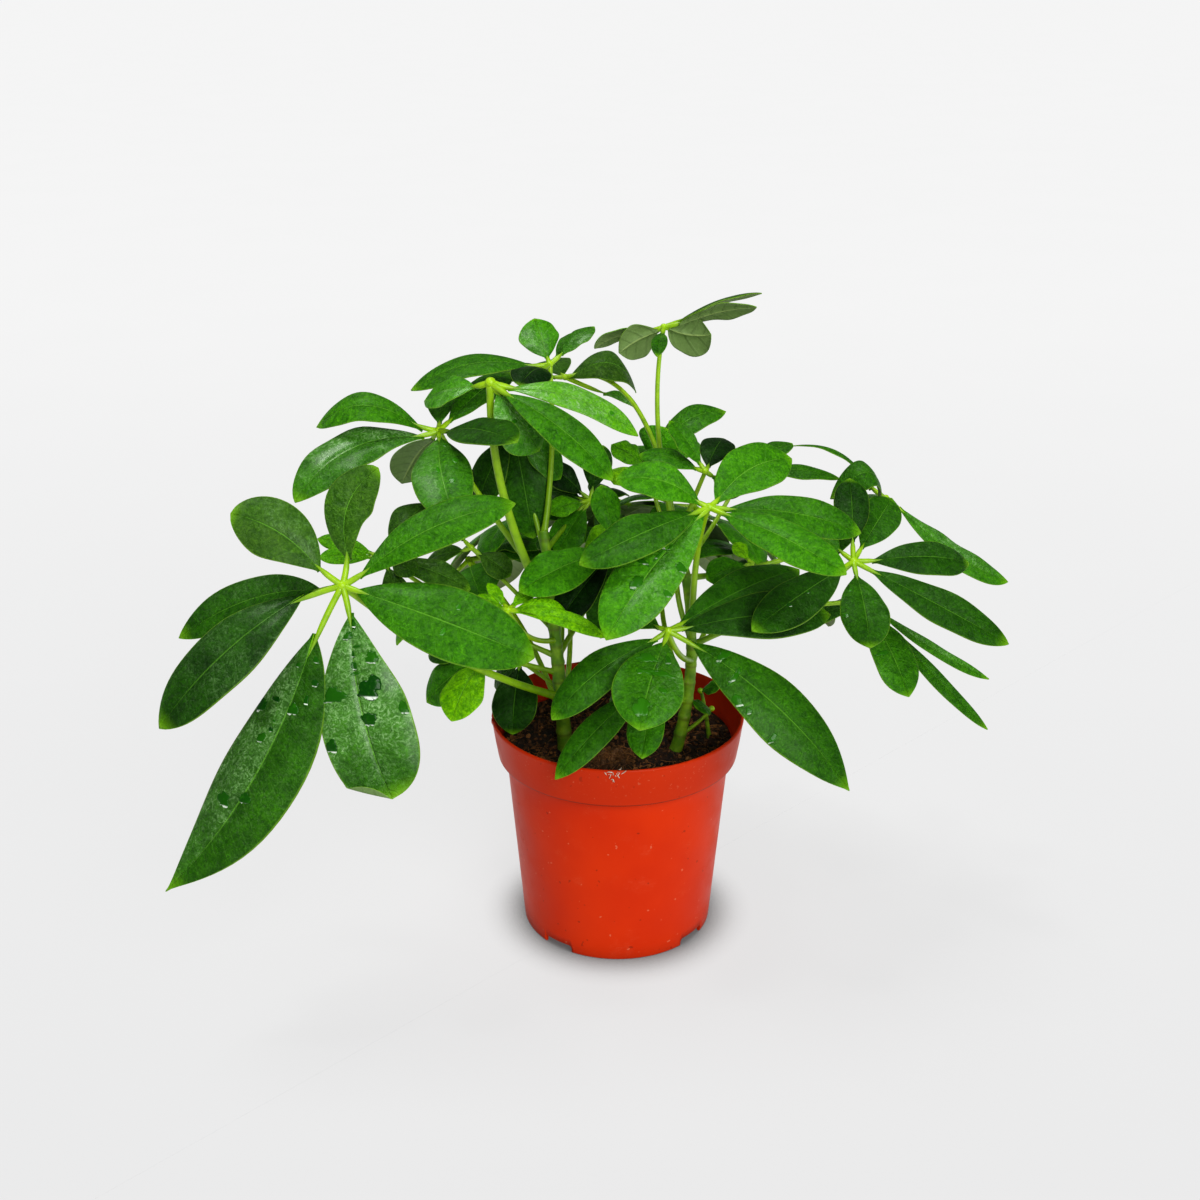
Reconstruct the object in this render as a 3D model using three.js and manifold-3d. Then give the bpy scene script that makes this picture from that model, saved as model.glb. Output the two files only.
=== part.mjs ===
// Potted umbrella plant, millimetres, +Z up. The pot stands on z = 0, its axis is the Z axis.
// Each compound leaf is one solid: its petiole, its hub and its leaflets.
import * as THREE from 'three';
import { mergeVertices } from 'three/addons/utils/BufferGeometryUtils.js';
import Module from 'manifold-3d';

const wasm = await Module();
wasm.setup();

const GAP = 0.3; // clearance between pieces that rest on each other
const CLEAR = 0.5; // least distance between two compound leaves
const TRIM = 0.14; // detail smaller than this is merged where stalks join

const POT = {
  height: 109, rimRadius: 60, collarFoot: 89, collarRadius: 57.2, bodyRadius: 53.3,
  footRadius: 45.8, wall: 1.3, lip: 2.2, sides: 36,
  padRadius: 36, footRing: 1.6, channelHeight: 4,
  notches: 4, notchTurn: 51.4, notchWidth: 16, notchHeight: 4, notchDepth: 14,
};
const SOIL = { level: 95, bump: 1.3, rings: [0, 18, 36, 53] };

const TRUNKS = {
  stem_1: { foot: [-23, -12, 68.3], bow: [-27, -16, 140], top: [-34, 0, 200], radius: [3.4, 2.1] },
  stem_2: { foot: [19, -12, 68.3], bow: [46, -18, 140], top: [24, 6, 205], radius: [2.8, 1.8] },
  stem_3: { foot: [45, -1, 80.3], bow: [44, -1, 100], top: [39.5, -3, 120], radius: [1.1, 0.8] },
};
const TRUNK_SIDES = 8;
const TRUNK_STEPS = 12;
const SCAR_SPACING = 17; // mm of stem between two leaf scars
const SCAR_SWELL = 0.12; // share of the stem's radius that a scar stands out

const BLADE_THICKNESS = 1.3; // at the midrib
const STALK_WIDTH = 1.8;
const TIP_WIDTH = 0.7;
const LONGEST_STALK = 0.6; // share of a leaflet that its stalk may take
const LONG_LEAFLET = 46; // from here on a leaflet has the finer of the two sets of stations
const FINE_STATIONS = [0, 0.13, 0.36, 0.6, 0.84, 1];
const PLAIN_STATIONS = [0, 0.2, 0.5, 0.82, 1];
const RISE = 0.92; // how slowly a blade widens from its base
const POINT = 0.66; // how slowly it narrows to its tip, unless a leaflet says otherwise
const FOLD = 0.12; // how far the blade's edges droop, as a share of its half width
const HUB_RADIUS = 2.5;
const PETIOLE_SIDES = 5;
const PETIOLE_STEPS = 5;

// A leaflet that would touch another compound leaf is bent clear along this slanting
// line through the plant, by the first of these distances that leaves it clear.
const GIVE_LINE = new THREE.Vector3(0, 0.93, -0.37);
const GIVE_STEPS = [0, 4, -4, 8, -8, 12, -12, 16, -16, 21, -21, 27, -27, 34, -34];
const SHORTER = [1, 0.85, 0.7];

// Compound leaves. petiole: [stem, height on the stem, knee], in mm. hub: where the
// leaflets meet. face: the way the upper side looks. stalk: length of each leaflet's
// own stalk. leaflets: tip from the hub x, y, z, width and arch in mm, and where they are
// not plain, its roll in degrees, its sway sideways, how far its blade's foot slips
// sideways, its stalk and how pointed it is.
const LEAVES = {
  leaf_left_front: {
    petiole: ['stem_1', 122, [-75, -46, 152]], hub: [-115, -70, 201],
    face: [-15, -65, 75], stalk: 20, thick: 1.6,
    leaflets: [
      [-46, 10, 28, 26, 2, { sway: 4, stalk: 11 }],
      [14, 25, 43, 21, 3, { sway: -7, stalk: 11 }],
      [72, 8, 33, 22, 6, { sway: -3, stalk: 8 }],
      [80, -22, -23, 32, 6, { sway: 1, stalk: 6 }],
      [22, -42, -77, 42, 3, { sway: 4, slip: -1, stalk: 12, point: 0.45 }],
      [-74, -45, -119, 38, 3, { sway: -11, stalk: 23, point: 1.05 }],
      [-74, -28, -52, 30, 7, { sway: 1, slip: 8, stalk: 15 }],
      [-78, 28, -36, 21, 0, { sway: 8, stalk: 10 }],
    ],
  },
  leaf_right_front: {
    petiole: ['stem_2', 150, [33, -17, 200]], hub: [38, -40, 225],
    face: [5, -55, 83], stalk: 7, thick: 1.4,
    leaflets: [
      [-40, 0, 12, 21, 6, { sway: 2, stalk: 4 }],
      [38, 30, 12, 25, 4, { sway: -4, stalk: 4 }],
      [64, -8, -9, 19, 6],
      [54, -38, -16, 21, 4],
      [-44, -52, -39, 28, 4, { sway: 2, stalk: 4 }],
      [-55, -32, -14, 22, 6, { sway: -2 }],
    ],
  },
  leaf_front_low: {
    petiole: ['stem_2', 140, [26, -38, 152]], hub: [21, -50, 172],
    face: [0, -60, 80], stalk: 6, thick: 1.3,
    leaflets: [
      [-50, -22, -32, 19, 4, { sway: 3 }],
      [-13, -42, -27, 30, 3, { sway: 1 }],
      [78, -28, -63, 28, 8, { sway: -2, slip: -3, stalk: 11, point: 0.85 }],
      [73, 20, -1, 23, 6],
      [62, 50, 9, 21, 6],
      [-29, 40, -7, 18, 4],
    ],
  },
  leaf_right_outer: {
    petiole: ['stem_2', 155, [78, -14, 158]], hub: [106, -10, 189],
    face: [10, -65, 75], stalk: 9, thick: 1.3,
    leaflets: [
      [0, 25, 31, 17, 2],
      [-16, 20, 7, 11, 2],
      [22, 35, 18, 19, 3],
      [56, 15, -7, 18, 6],
      [67, -25, -30, 19, 3, { sway: 1 }],
      [2, -45, -23, 22, 3],
      [-50, -52, -12, 21, 4],
    ],
  },
  leaf_young_bright: {
    petiole: ['stem_1', 150, [-42, -36, 158]], hub: [-48, -50, 182],
    face: [10, -50, 85], stalk: 3, thick: 1.1,
    leaflets: [
      [42, -12, -8, 9, 5],
      [26, -2, -3, 10, 6],
      [11, 12, 4, 7, 2],
      [-9, 8, 9, 6, 1],
      [-13, -10, 9, 7, 2],
      [-6, -14, -10, 6, 2],
    ],
  },
  leaf_left_low: {
    petiole: ['stem_1', 134, [-50, -16, 142]], hub: [-60, -21, 149],
    face: [-30, -50, 80], stalk: 5, thick: 1.2,
    leaflets: [
      [-14, -26, -21, 21, 3],
      [-28, -1, -25, 21, 3],
      [-28, 14, -8, 14, 3],
    ],
  },
  leaf_front_lowest: {
    petiole: ['stem_2', 120, [20, -27, 126]], hub: [16, -30, 139],
    face: [0, -50, 85], stalk: 5, thick: 1.1,
    leaflets: [
      [-44, -38, -30, 15, 7],
      [-6, -32, -23, 17, 3],
      [-20, 10, -15, 13, 3],
    ],
  },
  leaf_left_upper: {
    petiole: ['stem_1', 172, [-62, -4, 215]], hub: [-79, -10, 250],
    face: [-10, -45, 89], stalk: 7, thick: 1.3,
    leaflets: [
      [-54, 5, 0, 18, 14],
      [-59, -30, -23, 24, 6, { sway: 8 }],
      [11, -52, -23, 26, 4, { sway: 2, stalk: 5 }],
      [-1, 40, 7, 13, 2],
      [30, 35, 17, 18, 3],
      [37, -48, 9, 21, 4],
      [-21, 30, -34, 20, 4, { roll: 60 }],
    ],
  },
  leaf_upper_middle: {
    petiole: ['stem_1', 160, [-58, -18, 222]], hub: [-55, -20, 274],
    face: [10, -50, 85], stalk: 8, thick: 1.9,
    leaflets: [
      [21, -11, -27, 27, 3, { sway: 1, stalk: 5 }],
      [52, -30, -34, 19, 6],
      [63, -2, -23, 16, 7, { sway: -2 }],
      [-30, 14, -12, 18, 3],
    ],
  },
  leaf_top_left: {
    petiole: ['stem_1', 198.5, [-28, 12, 236]], hub: [-31, 20, 272],
    face: [0, -30, 95], stalk: 7, thick: 1.2,
    leaflets: [
      [-61, -15, -8, 20, 8],
      [-7, 8, 19, 19, 1, { stalk: 3 }],
      [15, 30, 8, 11, 2],
      [20, 14, 14, 11, 2],
      [-12, -30, -2, 18, 3],
    ],
  },
  leaf_top_right: {
    petiole: ['stem_2', 204, [13, 14, 250]], hub: [20, 20, 289],
    face: [10, 45, 89], stalk: 7, thick: 1.1,
    leaflets: [
      [40, -10, 11, 19, 2],
      [45, 20, 11, 17, 3],
      [21, -2, -3, 21, 2, { roll: -40, sway: -3, stalk: 2 }],
      [-31, 10, -12, 16, 3],
      [-20, -3, -11, 19, 2, { roll: 40, stalk: 3 }],
      [-4, -30, -6, 7, 2],
    ],
  },
  leaf_right_back: {
    petiole: ['stem_2', 178, [92, 24, 172]], hub: [128, 40, 202],
    face: [10, -40, 90], stalk: 8, thick: 1.2,
    leaflets: [
      [-28, -10, 3, 18, 17, { stalk: 3 }],
      [61, -5, -41, 16, 0, { sway: 5 }],
      [-43, 20, 20, 8, 8, { roll: 30 }],
      [-29, 5, -34, 15, 4],
      [-12, 44, -22, 18, 5],
    ],
  },
  leaf_right_low: {
    petiole: ['stem_2', 147, [84, 18, 160]], hub: [118, 20, 156],
    face: [10, -45, 88], stalk: 7, thick: 1.2,
    leaflets: [
      [61, -6, -37, 8, 1, { sway: 3 }],
      [59, -20, -57, 9, 2, { sway: 2 }],
      [18, -30, -35, 23, 3],
      [-30, 16, -20, 16, 4],
      [-14, 42, -24, 18, 5],
    ],
  },
  leaf_right_bud: {
    petiole: ['stem_2', 195, [33, -2, 214]], hub: [38, -12, 232],
    face: [0, -30, 95], stalk: 4, thick: 1.1,
    leaflets: [
      [-16, 7, 21, 13, 2],
      [10, 30, 6, 16, 3],
      [-29, 8, 5, 14, 3],
      [15, -4, -10, 17, 2],
    ],
  },
  leaf_centre: {
    petiole: ['stem_1', 178, [-16, -12, 192]], hub: [-1, -25, 201],
    face: [-10, -55, 83], stalk: 6, thick: 1.2,
    leaflets: [
      [-42, -25, -11, 23, 4],
      [-24, -30, -22, 17, 3],
      [-7, 15, 24, 13, 2],
      [12, -22, -24, 15, 3],
      [-7, -6, -40, 18, 3],
    ],
  },
  leaf_centre_back: {
    petiole: ['stem_2', 189, [18, 36, 193]], hub: [16, 50, 213],
    face: [0, -35, 93], stalk: 5, thick: 1.1,
    leaflets: [
      [7, 0, 21, 24, 2],
      [-19, 5, 11, 17, 2],
      [-18, -25, 1, 17, 3],
      [36, 10, 26, 17, 12],
      [24, 34, 4, 18, 4],
      [-14, 40, -2, 18, 4],
    ],
  },
  leaf_right_upper: {
    petiole: ['stem_2', 183, [46, 40, 186]], hub: [60, 48, 212],
    face: [0, -30, 95], stalk: 6, thick: 1.1,
    leaflets: [
      [46, -6, -1, 12, 4],
      [25, 16, 10, 13, 3],
      [6, 44, -6, 18, 4],
      [-16, -6, 14, 12, 2],
    ],
  },
  leaf_top_back: {
    petiole: ['stem_2', 197, [14, 56, 268]], hub: [-25, 60, 256],
    face: [0, -40, 90], stalk: 5, thick: 1.1,
    leaflets: [
      [34, 5, -9, 24, 14, { stalk: 2, point: 1 }],
      [36, 14, -20, 9, 3, { stalk: 22 }],
      [-12, 44, -6, 20, 5],
      [-44, 18, -8, 18, 5],
    ],
  },
  leaf_left_inner: {
    petiole: ['stem_1', 142, [-74, -4, 160]], hub: [-106, -10, 191],
    face: [-10, -50, 85], stalk: 6, thick: 1.1,
    leaflets: [
      [-31, 10, 5, 9, 2],
      [-27, -12, 4, 10, 2],
      [40, -15, -10, 14, 4],
      [14, -26, -24, 14, 3],
      [16, -12, -4, 11, 2],
      [18, 22, 18, 20, 3],
    ],
  },
  leaf_left_small: {
    petiole: ['stem_1', 154, [-52, 10, 170]], hub: [-68, 10, 188],
    face: [-10, -40, 90], stalk: 5, thick: 1,
    leaflets: [
      [-16, 8, 14, 16, 2],
      [18, -6, -12, 14, 2],
      [-24, 12, -14, 15, 3],
    ],
  },
  leaf_middle_left: {
    petiole: ['stem_1', 184, [-42, 10, 220]], hub: [-48, 15, 245],
    face: [0, -55, 80], stalk: 6, thick: 1.1,
    leaflets: [
      [9, -12, -50, 23, 3],
      [-16, -10, -34, 18, 3],
      [22, -5, -24, 16, 3],
      [26, 28, -4, 18, 4],
    ],
  },
  leaf_middle: {
    petiole: ['stem_1', 191, [-24, 16, 198]], hub: [-13, 20, 208],
    face: [0, -50, 86], stalk: 5, thick: 1.1,
    leaflets: [
      [-20, -6, 18, 15, 3],
      [-15, -14, -22, 17, 3],
      [16, -10, -26, 17, 3],
      [6, 14, 22, 14, 3],
      [-28, 10, 0, 16, 3],
      [-18, -12, -3, 12, 3],
      [12, 34, -8, 20, 4],
    ],
  },
  leaf_inner: {
    petiole: ['stem_1', 166, [-25, 2, 178]], hub: [-20, 6, 185],
    face: [0, -50, 86], stalk: 5, thick: 1.1,
    leaflets: [
      [-18, -4, 13, 15, 3],
      [-14, -10, -20, 17, 3],
      [17, -8, -20, 17, 3],
      [20, 2, 12, 16, 3],
    ],
  },
  leaf_young_yellow: {
    petiole: ['stem_2', 164, [54, -6, 168]], hub: [61, 0, 184],
    face: [0, -60, 80], stalk: 3, thick: 0.9,
    leaflets: [
      [-21, -8, -5, 15, 3],
      [-8, 5, 8, 8, 1],
    ],
  },
  leaf_over_rim: {
    petiole: ['stem_1', 126, [-41, -3, 133]], hub: [-46, 2, 134],
    face: [-20, -60, 75], stalk: 3, thick: 1,
    leaflets: [
      [-3, -18, -31, 22, 3],
      [-13, 8, -17, 13, 2],
    ],
  },
  leaf_basal: {
    petiole: ['stem_2', 103, [38, -12, 108]], hub: [44, -10, 115],
    face: [10, -40, 90], stalk: 2, thick: 0.9,
    leaflets: [
      [-10, -6, 4, 10, 1],
    ],
  },
};
const SEEDLING = { leaf: 'leaf_seedling', hub: [39, -3, 121], tip: [9, -4, 4], width: 9 };

// Seven more compound leaves fill the far side, fanned about the stems, every second one
// higher and nearer (inner is its share of the reach). attach: how far below its hub the
// first petiole leaves its stem, and attachStep how much lower each next one does.
const BACK = {
  count: 7, firstTurn: 26, turnStep: 22, reach: [79, 66], centre: [0, 28], low: 166, high: 190,
  inner: 0.72, attach: 36, attachStep: 4, tilt: 0.45,
  leaflets: 6, length: 54, width: 23, droop: 0.35, stalk: 9, arch: 6, thick: 1.2,
};

const GREEN = { deep: 0x1f5a26, mid: 0x2c7a30, young: 0x6fae2c, yellow: 0x9fb045, stem: 0x6d8f3c };
const LEAF_COLOUR = {
  leaf_young_bright: GREEN.young, leaf_young_yellow: GREEN.yellow, leaf_left_low: GREEN.young,
  leaf_top_right: GREEN.mid, leaf_upper_middle: GREEN.mid, leaf_centre: GREEN.mid,
};

const vec = (v) => new THREE.Vector3(...v);
const radians = THREE.MathUtils.degToRad;
const lerp = THREE.MathUtils.lerp;

// Closes a geometry as a solid, turned right side out if its faces look inward.
function toManifold(geometry) {
  geometry.deleteAttribute('normal');
  geometry.deleteAttribute('uv');
  const merged = mergeVertices(geometry, 1e-4);
  const vertProperties = Float32Array.from(merged.attributes.position.array);
  const triVerts = Uint32Array.from(merged.index.array);
  const solid = new wasm.Manifold(new wasm.Mesh({ numProp: 3, vertProperties, triVerts }));
  if (solid.volume() > 0) return solid;
  return new wasm.Manifold(new wasm.Mesh({ numProp: 3, vertProperties, triVerts: triVerts.reverse() }));
}

function toMesh(name, solid, colour, roughness) {
  const data = solid.getMesh();
  const geometry = new THREE.BufferGeometry();
  geometry.setAttribute('position', new THREE.BufferAttribute(data.vertProperties, 3));
  geometry.setIndex(new THREE.BufferAttribute(data.triVerts, 1));
  geometry.computeVertexNormals();
  const material = new THREE.MeshStandardMaterial({ color: colour, roughness, metalness: 0 });
  const mesh = new THREE.Mesh(geometry, material);
  mesh.name = name;
  return mesh;
}

// Moves every vertex of a base geometry to place(vertex), and closes it as a solid.
function shaped(base, place) {
  const position = base.attributes.position;
  const point = new THREE.Vector3();
  for (let i = 0; i < position.count; i++) {
    place(point.fromBufferAttribute(position, i));
    position.setXYZ(i, point.x, point.y, point.z);
  }
  return toManifold(base);
}

// A round rod along a curve, its radius given for each share t of the length.
function rod(curve, radiusAt, sides, steps) {
  const chord = curve.getPoint(1).sub(curve.getPoint(0));
  const across = new THREE.Vector3(chord.y, -chord.x, 0);
  if (across.length() < 1) across.set(0, 1, 0);
  across.normalize();
  const base = new THREE.CylinderGeometry(1, 1, 1, sides, steps);
  return shaped(base, (p) => {
    const t = THREE.MathUtils.clamp(p.y + 0.5, 0, 1);
    const along = curve.getTangent(t);
    const side = along.clone().cross(across).normalize();
    const second = side.clone().cross(along).normalize();
    const radius = radiusAt(t);
    const centre = curve.getPoint(t);
    const [u, w] = [p.x * radius, p.z * radius];
    p.copy(centre).addScaledVector(side, u).addScaledVector(second, w);
  });
}

function trunkCurve({ foot, bow, top }) {
  return new THREE.QuadraticBezierCurve3(vec(foot), vec(bow), vec(top));
}

function trunkRadius(trunk, t) {
  const length = trunk.top[2] - trunk.foot[2];
  const scar = Math.cos(2 * Math.PI * t * length / SCAR_SPACING) ** 8;
  return lerp(trunk.radius[0], trunk.radius[1], t) * (1 + SCAR_SWELL * scar);
}

function trunkSolid(trunk, extra) {
  const curve = trunkCurve(trunk);
  return rod(curve, (t) => trunkRadius(trunk, t) + extra, TRUNK_SIDES, TRUNK_STEPS);
}

// The point on a stem at a height, found by halving.
function onTrunk(trunk, height) {
  const curve = trunkCurve(trunk);
  let [low, high] = [0, 1];
  for (let i = 0; i < 30; i++) {
    const middle = (low + high) / 2;
    if (curve.getPoint(middle).z < height) low = middle;
    else high = middle;
  }
  return curve.getPoint(low);
}

function makePot() {
  const p = POT;
  const slope = (p.bodyRadius - p.footRadius) / p.collarFoot;
  const bodyAt = (z) => p.footRadius + slope * z;
  const inner = (z) => bodyAt(z) - p.wall;
  const floorTop = p.channelHeight + p.wall;
  const outline = [
    [0, 0], [p.padRadius, 0], [p.padRadius + 2, p.channelHeight],
    [p.footRadius - p.footRing, p.channelHeight], [p.footRadius - p.footRing, 0],
    [p.footRadius, 0], [p.bodyRadius, p.collarFoot], [p.collarRadius, p.collarFoot],
    [p.rimRadius - 0.4, p.height - 3], [p.rimRadius, p.height - 0.8],
    [p.rimRadius - 0.8, p.height], [p.rimRadius - p.lip, p.height - 0.6],
    [p.collarRadius - p.wall, p.collarFoot + p.wall], [inner(p.collarFoot), p.collarFoot - 1],
    [inner(floorTop), floorTop], [p.padRadius + 1.2, floorTop],
    [p.padRadius - 0.8, p.wall], [0, p.wall],
  ].map(([x, y]) => new THREE.Vector2(x, y));
  const lathe = new THREE.LatheGeometry(outline, p.sides);
  let solid = shaped(lathe, (v) => v.set(v.x, -v.z, v.y));
  for (let i = 0; i < p.notches; i++) {
    const turn = radians(p.notchTurn + 360 * i / p.notches - 90);
    const box = new THREE.BoxGeometry(p.notchDepth, p.notchWidth, 2 * p.notchHeight);
    box.translate(p.footRadius, 0, 0).rotateZ(turn);
    solid = solid.subtract(toManifold(box));
  }
  return solid;
}

function makeSoil(stems) {
  const p = POT;
  const slope = (p.bodyRadius - p.footRadius) / p.collarFoot;
  const inner = (z) => p.footRadius + slope * z - p.wall - GAP;
  const floorTop = p.channelHeight + p.wall + GAP;
  const collar = (z) => lerp(p.collarRadius, p.rimRadius, (z - p.collarFoot) / (p.height - p.collarFoot));
  const edge = collar(SOIL.level) - p.wall - GAP - 0.7;
  const outline = [
    [0, p.wall + GAP], [p.padRadius - 1.2, p.wall + GAP], [p.padRadius + 0.9, floorTop],
    [inner(floorTop) - 0.1, floorTop], [inner(p.collarFoot) - 0.1, p.collarFoot - 0.6],
    [p.collarRadius - p.wall - 2 * GAP, p.collarFoot + p.wall + GAP + 0.4],
    [edge, SOIL.level],
    ...[...SOIL.rings].reverse().map((r) => [r, SOIL.level]),
  ].map(([x, y]) => new THREE.Vector2(x, y));
  const lathe = new THREE.LatheGeometry(outline, p.sides);
  let solid = shaped(lathe, (v) => {
    const [x, y, z] = [v.x, -v.z, v.y];
    const onTop = Math.abs(z - SOIL.level) < 0.01 && Math.hypot(x, y) < edge - 1;
    v.set(x, y, z + (onTop ? SOIL.bump * Math.sin(0.31 * x + 1) * Math.cos(0.37 * y + 0.4) : 0));
  });
  for (const stem of stems) {
    solid = solid.subtract(trunkSolid(stem, GAP)).subtract(trunkFootHole(stem));
  }
  return solid;
}

// Lets the hole end just under the stem's foot.
function trunkFootHole(trunk) {
  const hole = new THREE.CylinderGeometry(trunk.radius[0], trunk.radius[0], 2, TRUNK_SIDES);
  hole.rotateX(Math.PI / 2).translate(trunk.foot[0], trunk.foot[1], trunk.foot[2] + 1 - GAP);
  return toManifold(hole);
}

// Half width of a blade at share s of its length: broadest past the middle.
function bladeShape(s, point) {
  const peak = RISE / (RISE + point);
  const most = peak ** RISE * (1 - peak) ** point;
  return s ** RISE * (1 - s) ** point / most;
}

const CORNERS = [[1, 0], [0, 1], [-1, 0], [0, -1]];
const DIAMOND = new THREE.Shape(CORNERS.map(([x, y]) => new THREE.Vector2(x, y)));

// One leaflet: a stalk from the hub, then a folded, arched blade with a diamond section.
function leaflet(hub, tipFromHub, face, leafStalk, [width, arch, extra = {}]) {
  const { roll = 0, sway = 0, slip = 0, stalk = leafStalk, point = POINT } = extra;
  const length = tipFromHub.length();
  const along = tipFromHub.clone().normalize();
  const up = face.clone().normalize();
  up.addScaledVector(along, -up.dot(along)).normalize().applyAxisAngle(along, radians(roll));
  const side = along.clone().cross(up);
  const foot = hub.clone().addScaledVector(along, Math.min(stalk, LONGEST_STALK * length));
  foot.addScaledVector(side, slip);
  const end = hub.clone().add(tipFromHub);
  const bend = foot.clone().lerp(end, 0.5);
  bend.addScaledVector(up, 2 * arch).addScaledVector(side, 2 * sway);
  const rib = new THREE.QuadraticBezierCurve3(foot, bend, end);
  const stations = length < LONG_LEAFLET ? PLAIN_STATIONS : FINE_STATIONS;
  const steps = stations.length;
  const base = new THREE.ExtrudeGeometry(DIAMOND, { steps, depth: steps, bevelEnabled: false });
  return shaped(base, (p) => {
    const ring = Math.round(p.z);
    const s = stations[Math.max(ring - 1, 0)];
    const centre = ring > 0 ? rib.getPoint(s) : hub;
    const tangent = ring > 0 ? rib.getTangent(s) : along;
    const normal = side.clone().cross(tangent).normalize();
    const across = tangent.clone().cross(normal);
    const least = s >= 1 ? TIP_WIDTH / 2 : STALK_WIDTH / 2;
    const half = Math.max(width / 2 * bladeShape(s, point), least);
    const thick = (s > 0 ? lerp(BLADE_THICKNESS, TIP_WIDTH, s * s) : STALK_WIDTH) / 2;
    const lift = p.y * thick - Math.abs(p.x) * half * (s > 0 ? FOLD : 0);
    const sideways = p.x * half;
    p.copy(centre).addScaledVector(across, sideways).addScaledVector(normal, lift);
  });
}

function petiole(start, knee, hub, thick) {
  const curve = new THREE.QuadraticBezierCurve3(start, knee, hub);
  return rod(curve, (t) => thick * lerp(1.15, 0.85, t), PETIOLE_SIDES, PETIOLE_STEPS);
}

function knob(hub, thick) {
  const ball = new THREE.IcosahedronGeometry(Math.max(HUB_RADIUS, thick + 0.7), 0);
  return toManifold(ball.translate(hub.x, hub.y, hub.z));
}

// The leaf's rows for the far side, worked out from its turn about the stems.
function backLeaf(i) {
  const b = BACK;
  const turn = radians(b.firstTurn + b.turnStep * i);
  const height = i % 2 ? b.high : b.low;
  const out = new THREE.Vector3(Math.cos(turn), Math.sin(turn), 0);
  const reach = i % 2 ? b.inner : 1;
  const hub = [b.centre[0] + b.reach[0] * reach * out.x, b.centre[1] + b.reach[1] * reach * out.y, height];
  const face = new THREE.Vector3(b.tilt * out.x, b.tilt * out.y, 2 * b.tilt);
  const first = out.clone().addScaledVector(face, -out.dot(face)).normalize();
  const second = face.clone().cross(first);
  const leaflets = [];
  for (let k = 0; k < b.leaflets; k++) {
    const fan = radians(360 * k / b.leaflets + 20 * i);
    const long = b.length * (1 + 0.22 * Math.cos(fan)) * (1 + 0.08 * Math.sin(5 * k + i));
    const tip = first.clone().multiplyScalar(Math.cos(fan)).addScaledVector(second, Math.sin(fan));
    tip.addScaledVector(face, -b.droop).normalize().multiplyScalar(long);
    leaflets.push([tip.x, tip.y, tip.z, b.width * (1 + 0.15 * Math.cos(3 * k + i)), b.arch]);
  }
  const stem = out.x < 0 ? 'stem_1' : 'stem_2';
  const knee = [0.55 * hub[0], 0.55 * hub[1] + 4, height - 26];
  return {
    petiole: [stem, height - b.attach - b.attachStep * i, knee], hub, face: face.toArray(),
    stalk: b.stalk, thick: b.thick, leaflets,
  };
}

// Adds a leaf's leaflets one by one, each bent clear of the other leaves.
function growLeaf(core, leaf, others) {
  const hub = vec(leaf.hub);
  const face = vec(leaf.face);
  let solid = core;
  for (const [x, y, z, ...form] of leaf.leaflets) {
    const placed = bentClear(hub, new THREE.Vector3(x, y, z), face, leaf.stalk, form, others);
    if (placed) solid = solid.add(placed);
  }
  return solid;
}

function bentClear(hub, tip, face, stalk, form, others) {
  for (const shorter of SHORTER) {
    for (const give of GIVE_STEPS) {
      const length = tip.length() * shorter;
      const bent = tip.clone().addScaledVector(GIVE_LINE, give).setLength(length);
      const solid = leaflet(hub, bent, face, stalk, form);
      if (isClear(solid, others)) return solid;
    }
  }
  return null;
}

function isClear(solid, others) {
  const box = solid.boundingBox();
  return others.every((other) => {
    const apart = [0, 1, 2].some((k) => box.min[k] > other.box.max[k] + CLEAR
      || other.box.min[k] > box.max[k] + CLEAR);
    return apart || solid.minGap(other.solid, CLEAR) >= CLEAR;
  });
}

const boxed = (solid) => ({ solid, box: solid.boundingBox() });

function buildLeaves(trunks, potAndSoil) {
  const leaves = { ...LEAVES };
  for (let i = 0; i < BACK.count; i++) leaves[`leaf_back_${i + 1}`] = backLeaf(i);
  leaves[SEEDLING.leaf] = {
    petiole: null, hub: SEEDLING.hub, face: [0, -40, 90], stalk: 1, thick: 0.9,
    leaflets: [[...SEEDLING.tip, SEEDLING.width, 1]],
  };
  const swollen = Object.fromEntries(Object.entries(TRUNKS).map(([n, t]) => [n, trunkSolid(t, GAP)]));
  const cores = {};
  for (const [name, leaf] of Object.entries(leaves)) {
    const hub = vec(leaf.hub);
    let core = knob(hub, leaf.thick);
    if (leaf.petiole) {
      const [stem, height, knee] = leaf.petiole;
      core = core.add(petiole(onTrunk(TRUNKS[stem], height), vec(knee), hub, leaf.thick));
    }
    for (const trunk of Object.values(swollen)) core = core.subtract(trunk);
    cores[name] = largest(core);
  }
  const fixed = [...Object.values(trunks), ...potAndSoil].map(boxed);
  const grown = {};
  for (const [name, leaf] of Object.entries(leaves)) {
    const rest = Object.keys(leaves).filter((other) => other !== name);
    const others = fixed.concat(rest.map((other) => boxed(grown[other] ?? cores[other])));
    grown[name] = largest(growLeaf(cores[name], leaf, others).simplify(TRIM));
  }
  return grown;
}

function largest(solid) {
  return solid.decompose().reduce((best, piece) => (piece.volume() > best.volume() ? piece : best));
}

const plant = new THREE.Group();
const pot = makePot();
const soil = makeSoil(Object.values(TRUNKS));
const trunks = Object.fromEntries(Object.entries(TRUNKS).map(([n, t]) => [n, trunkSolid(t, 0)]));
plant.add(toMesh('pot', pot, 0xb8391c, 0.42));
plant.add(toMesh('soil', soil, 0x2e1c14, 0.95));
for (const [name, solid] of Object.entries(trunks)) {
  plant.add(toMesh(name, solid, GREEN.stem, 0.6));
}
for (const [name, solid] of Object.entries(buildLeaves(trunks, [pot, soil]))) {
  plant.add(toMesh(name, solid, LEAF_COLOUR[name] ?? GREEN.deep, 0.4));
}

export default plant;
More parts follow.
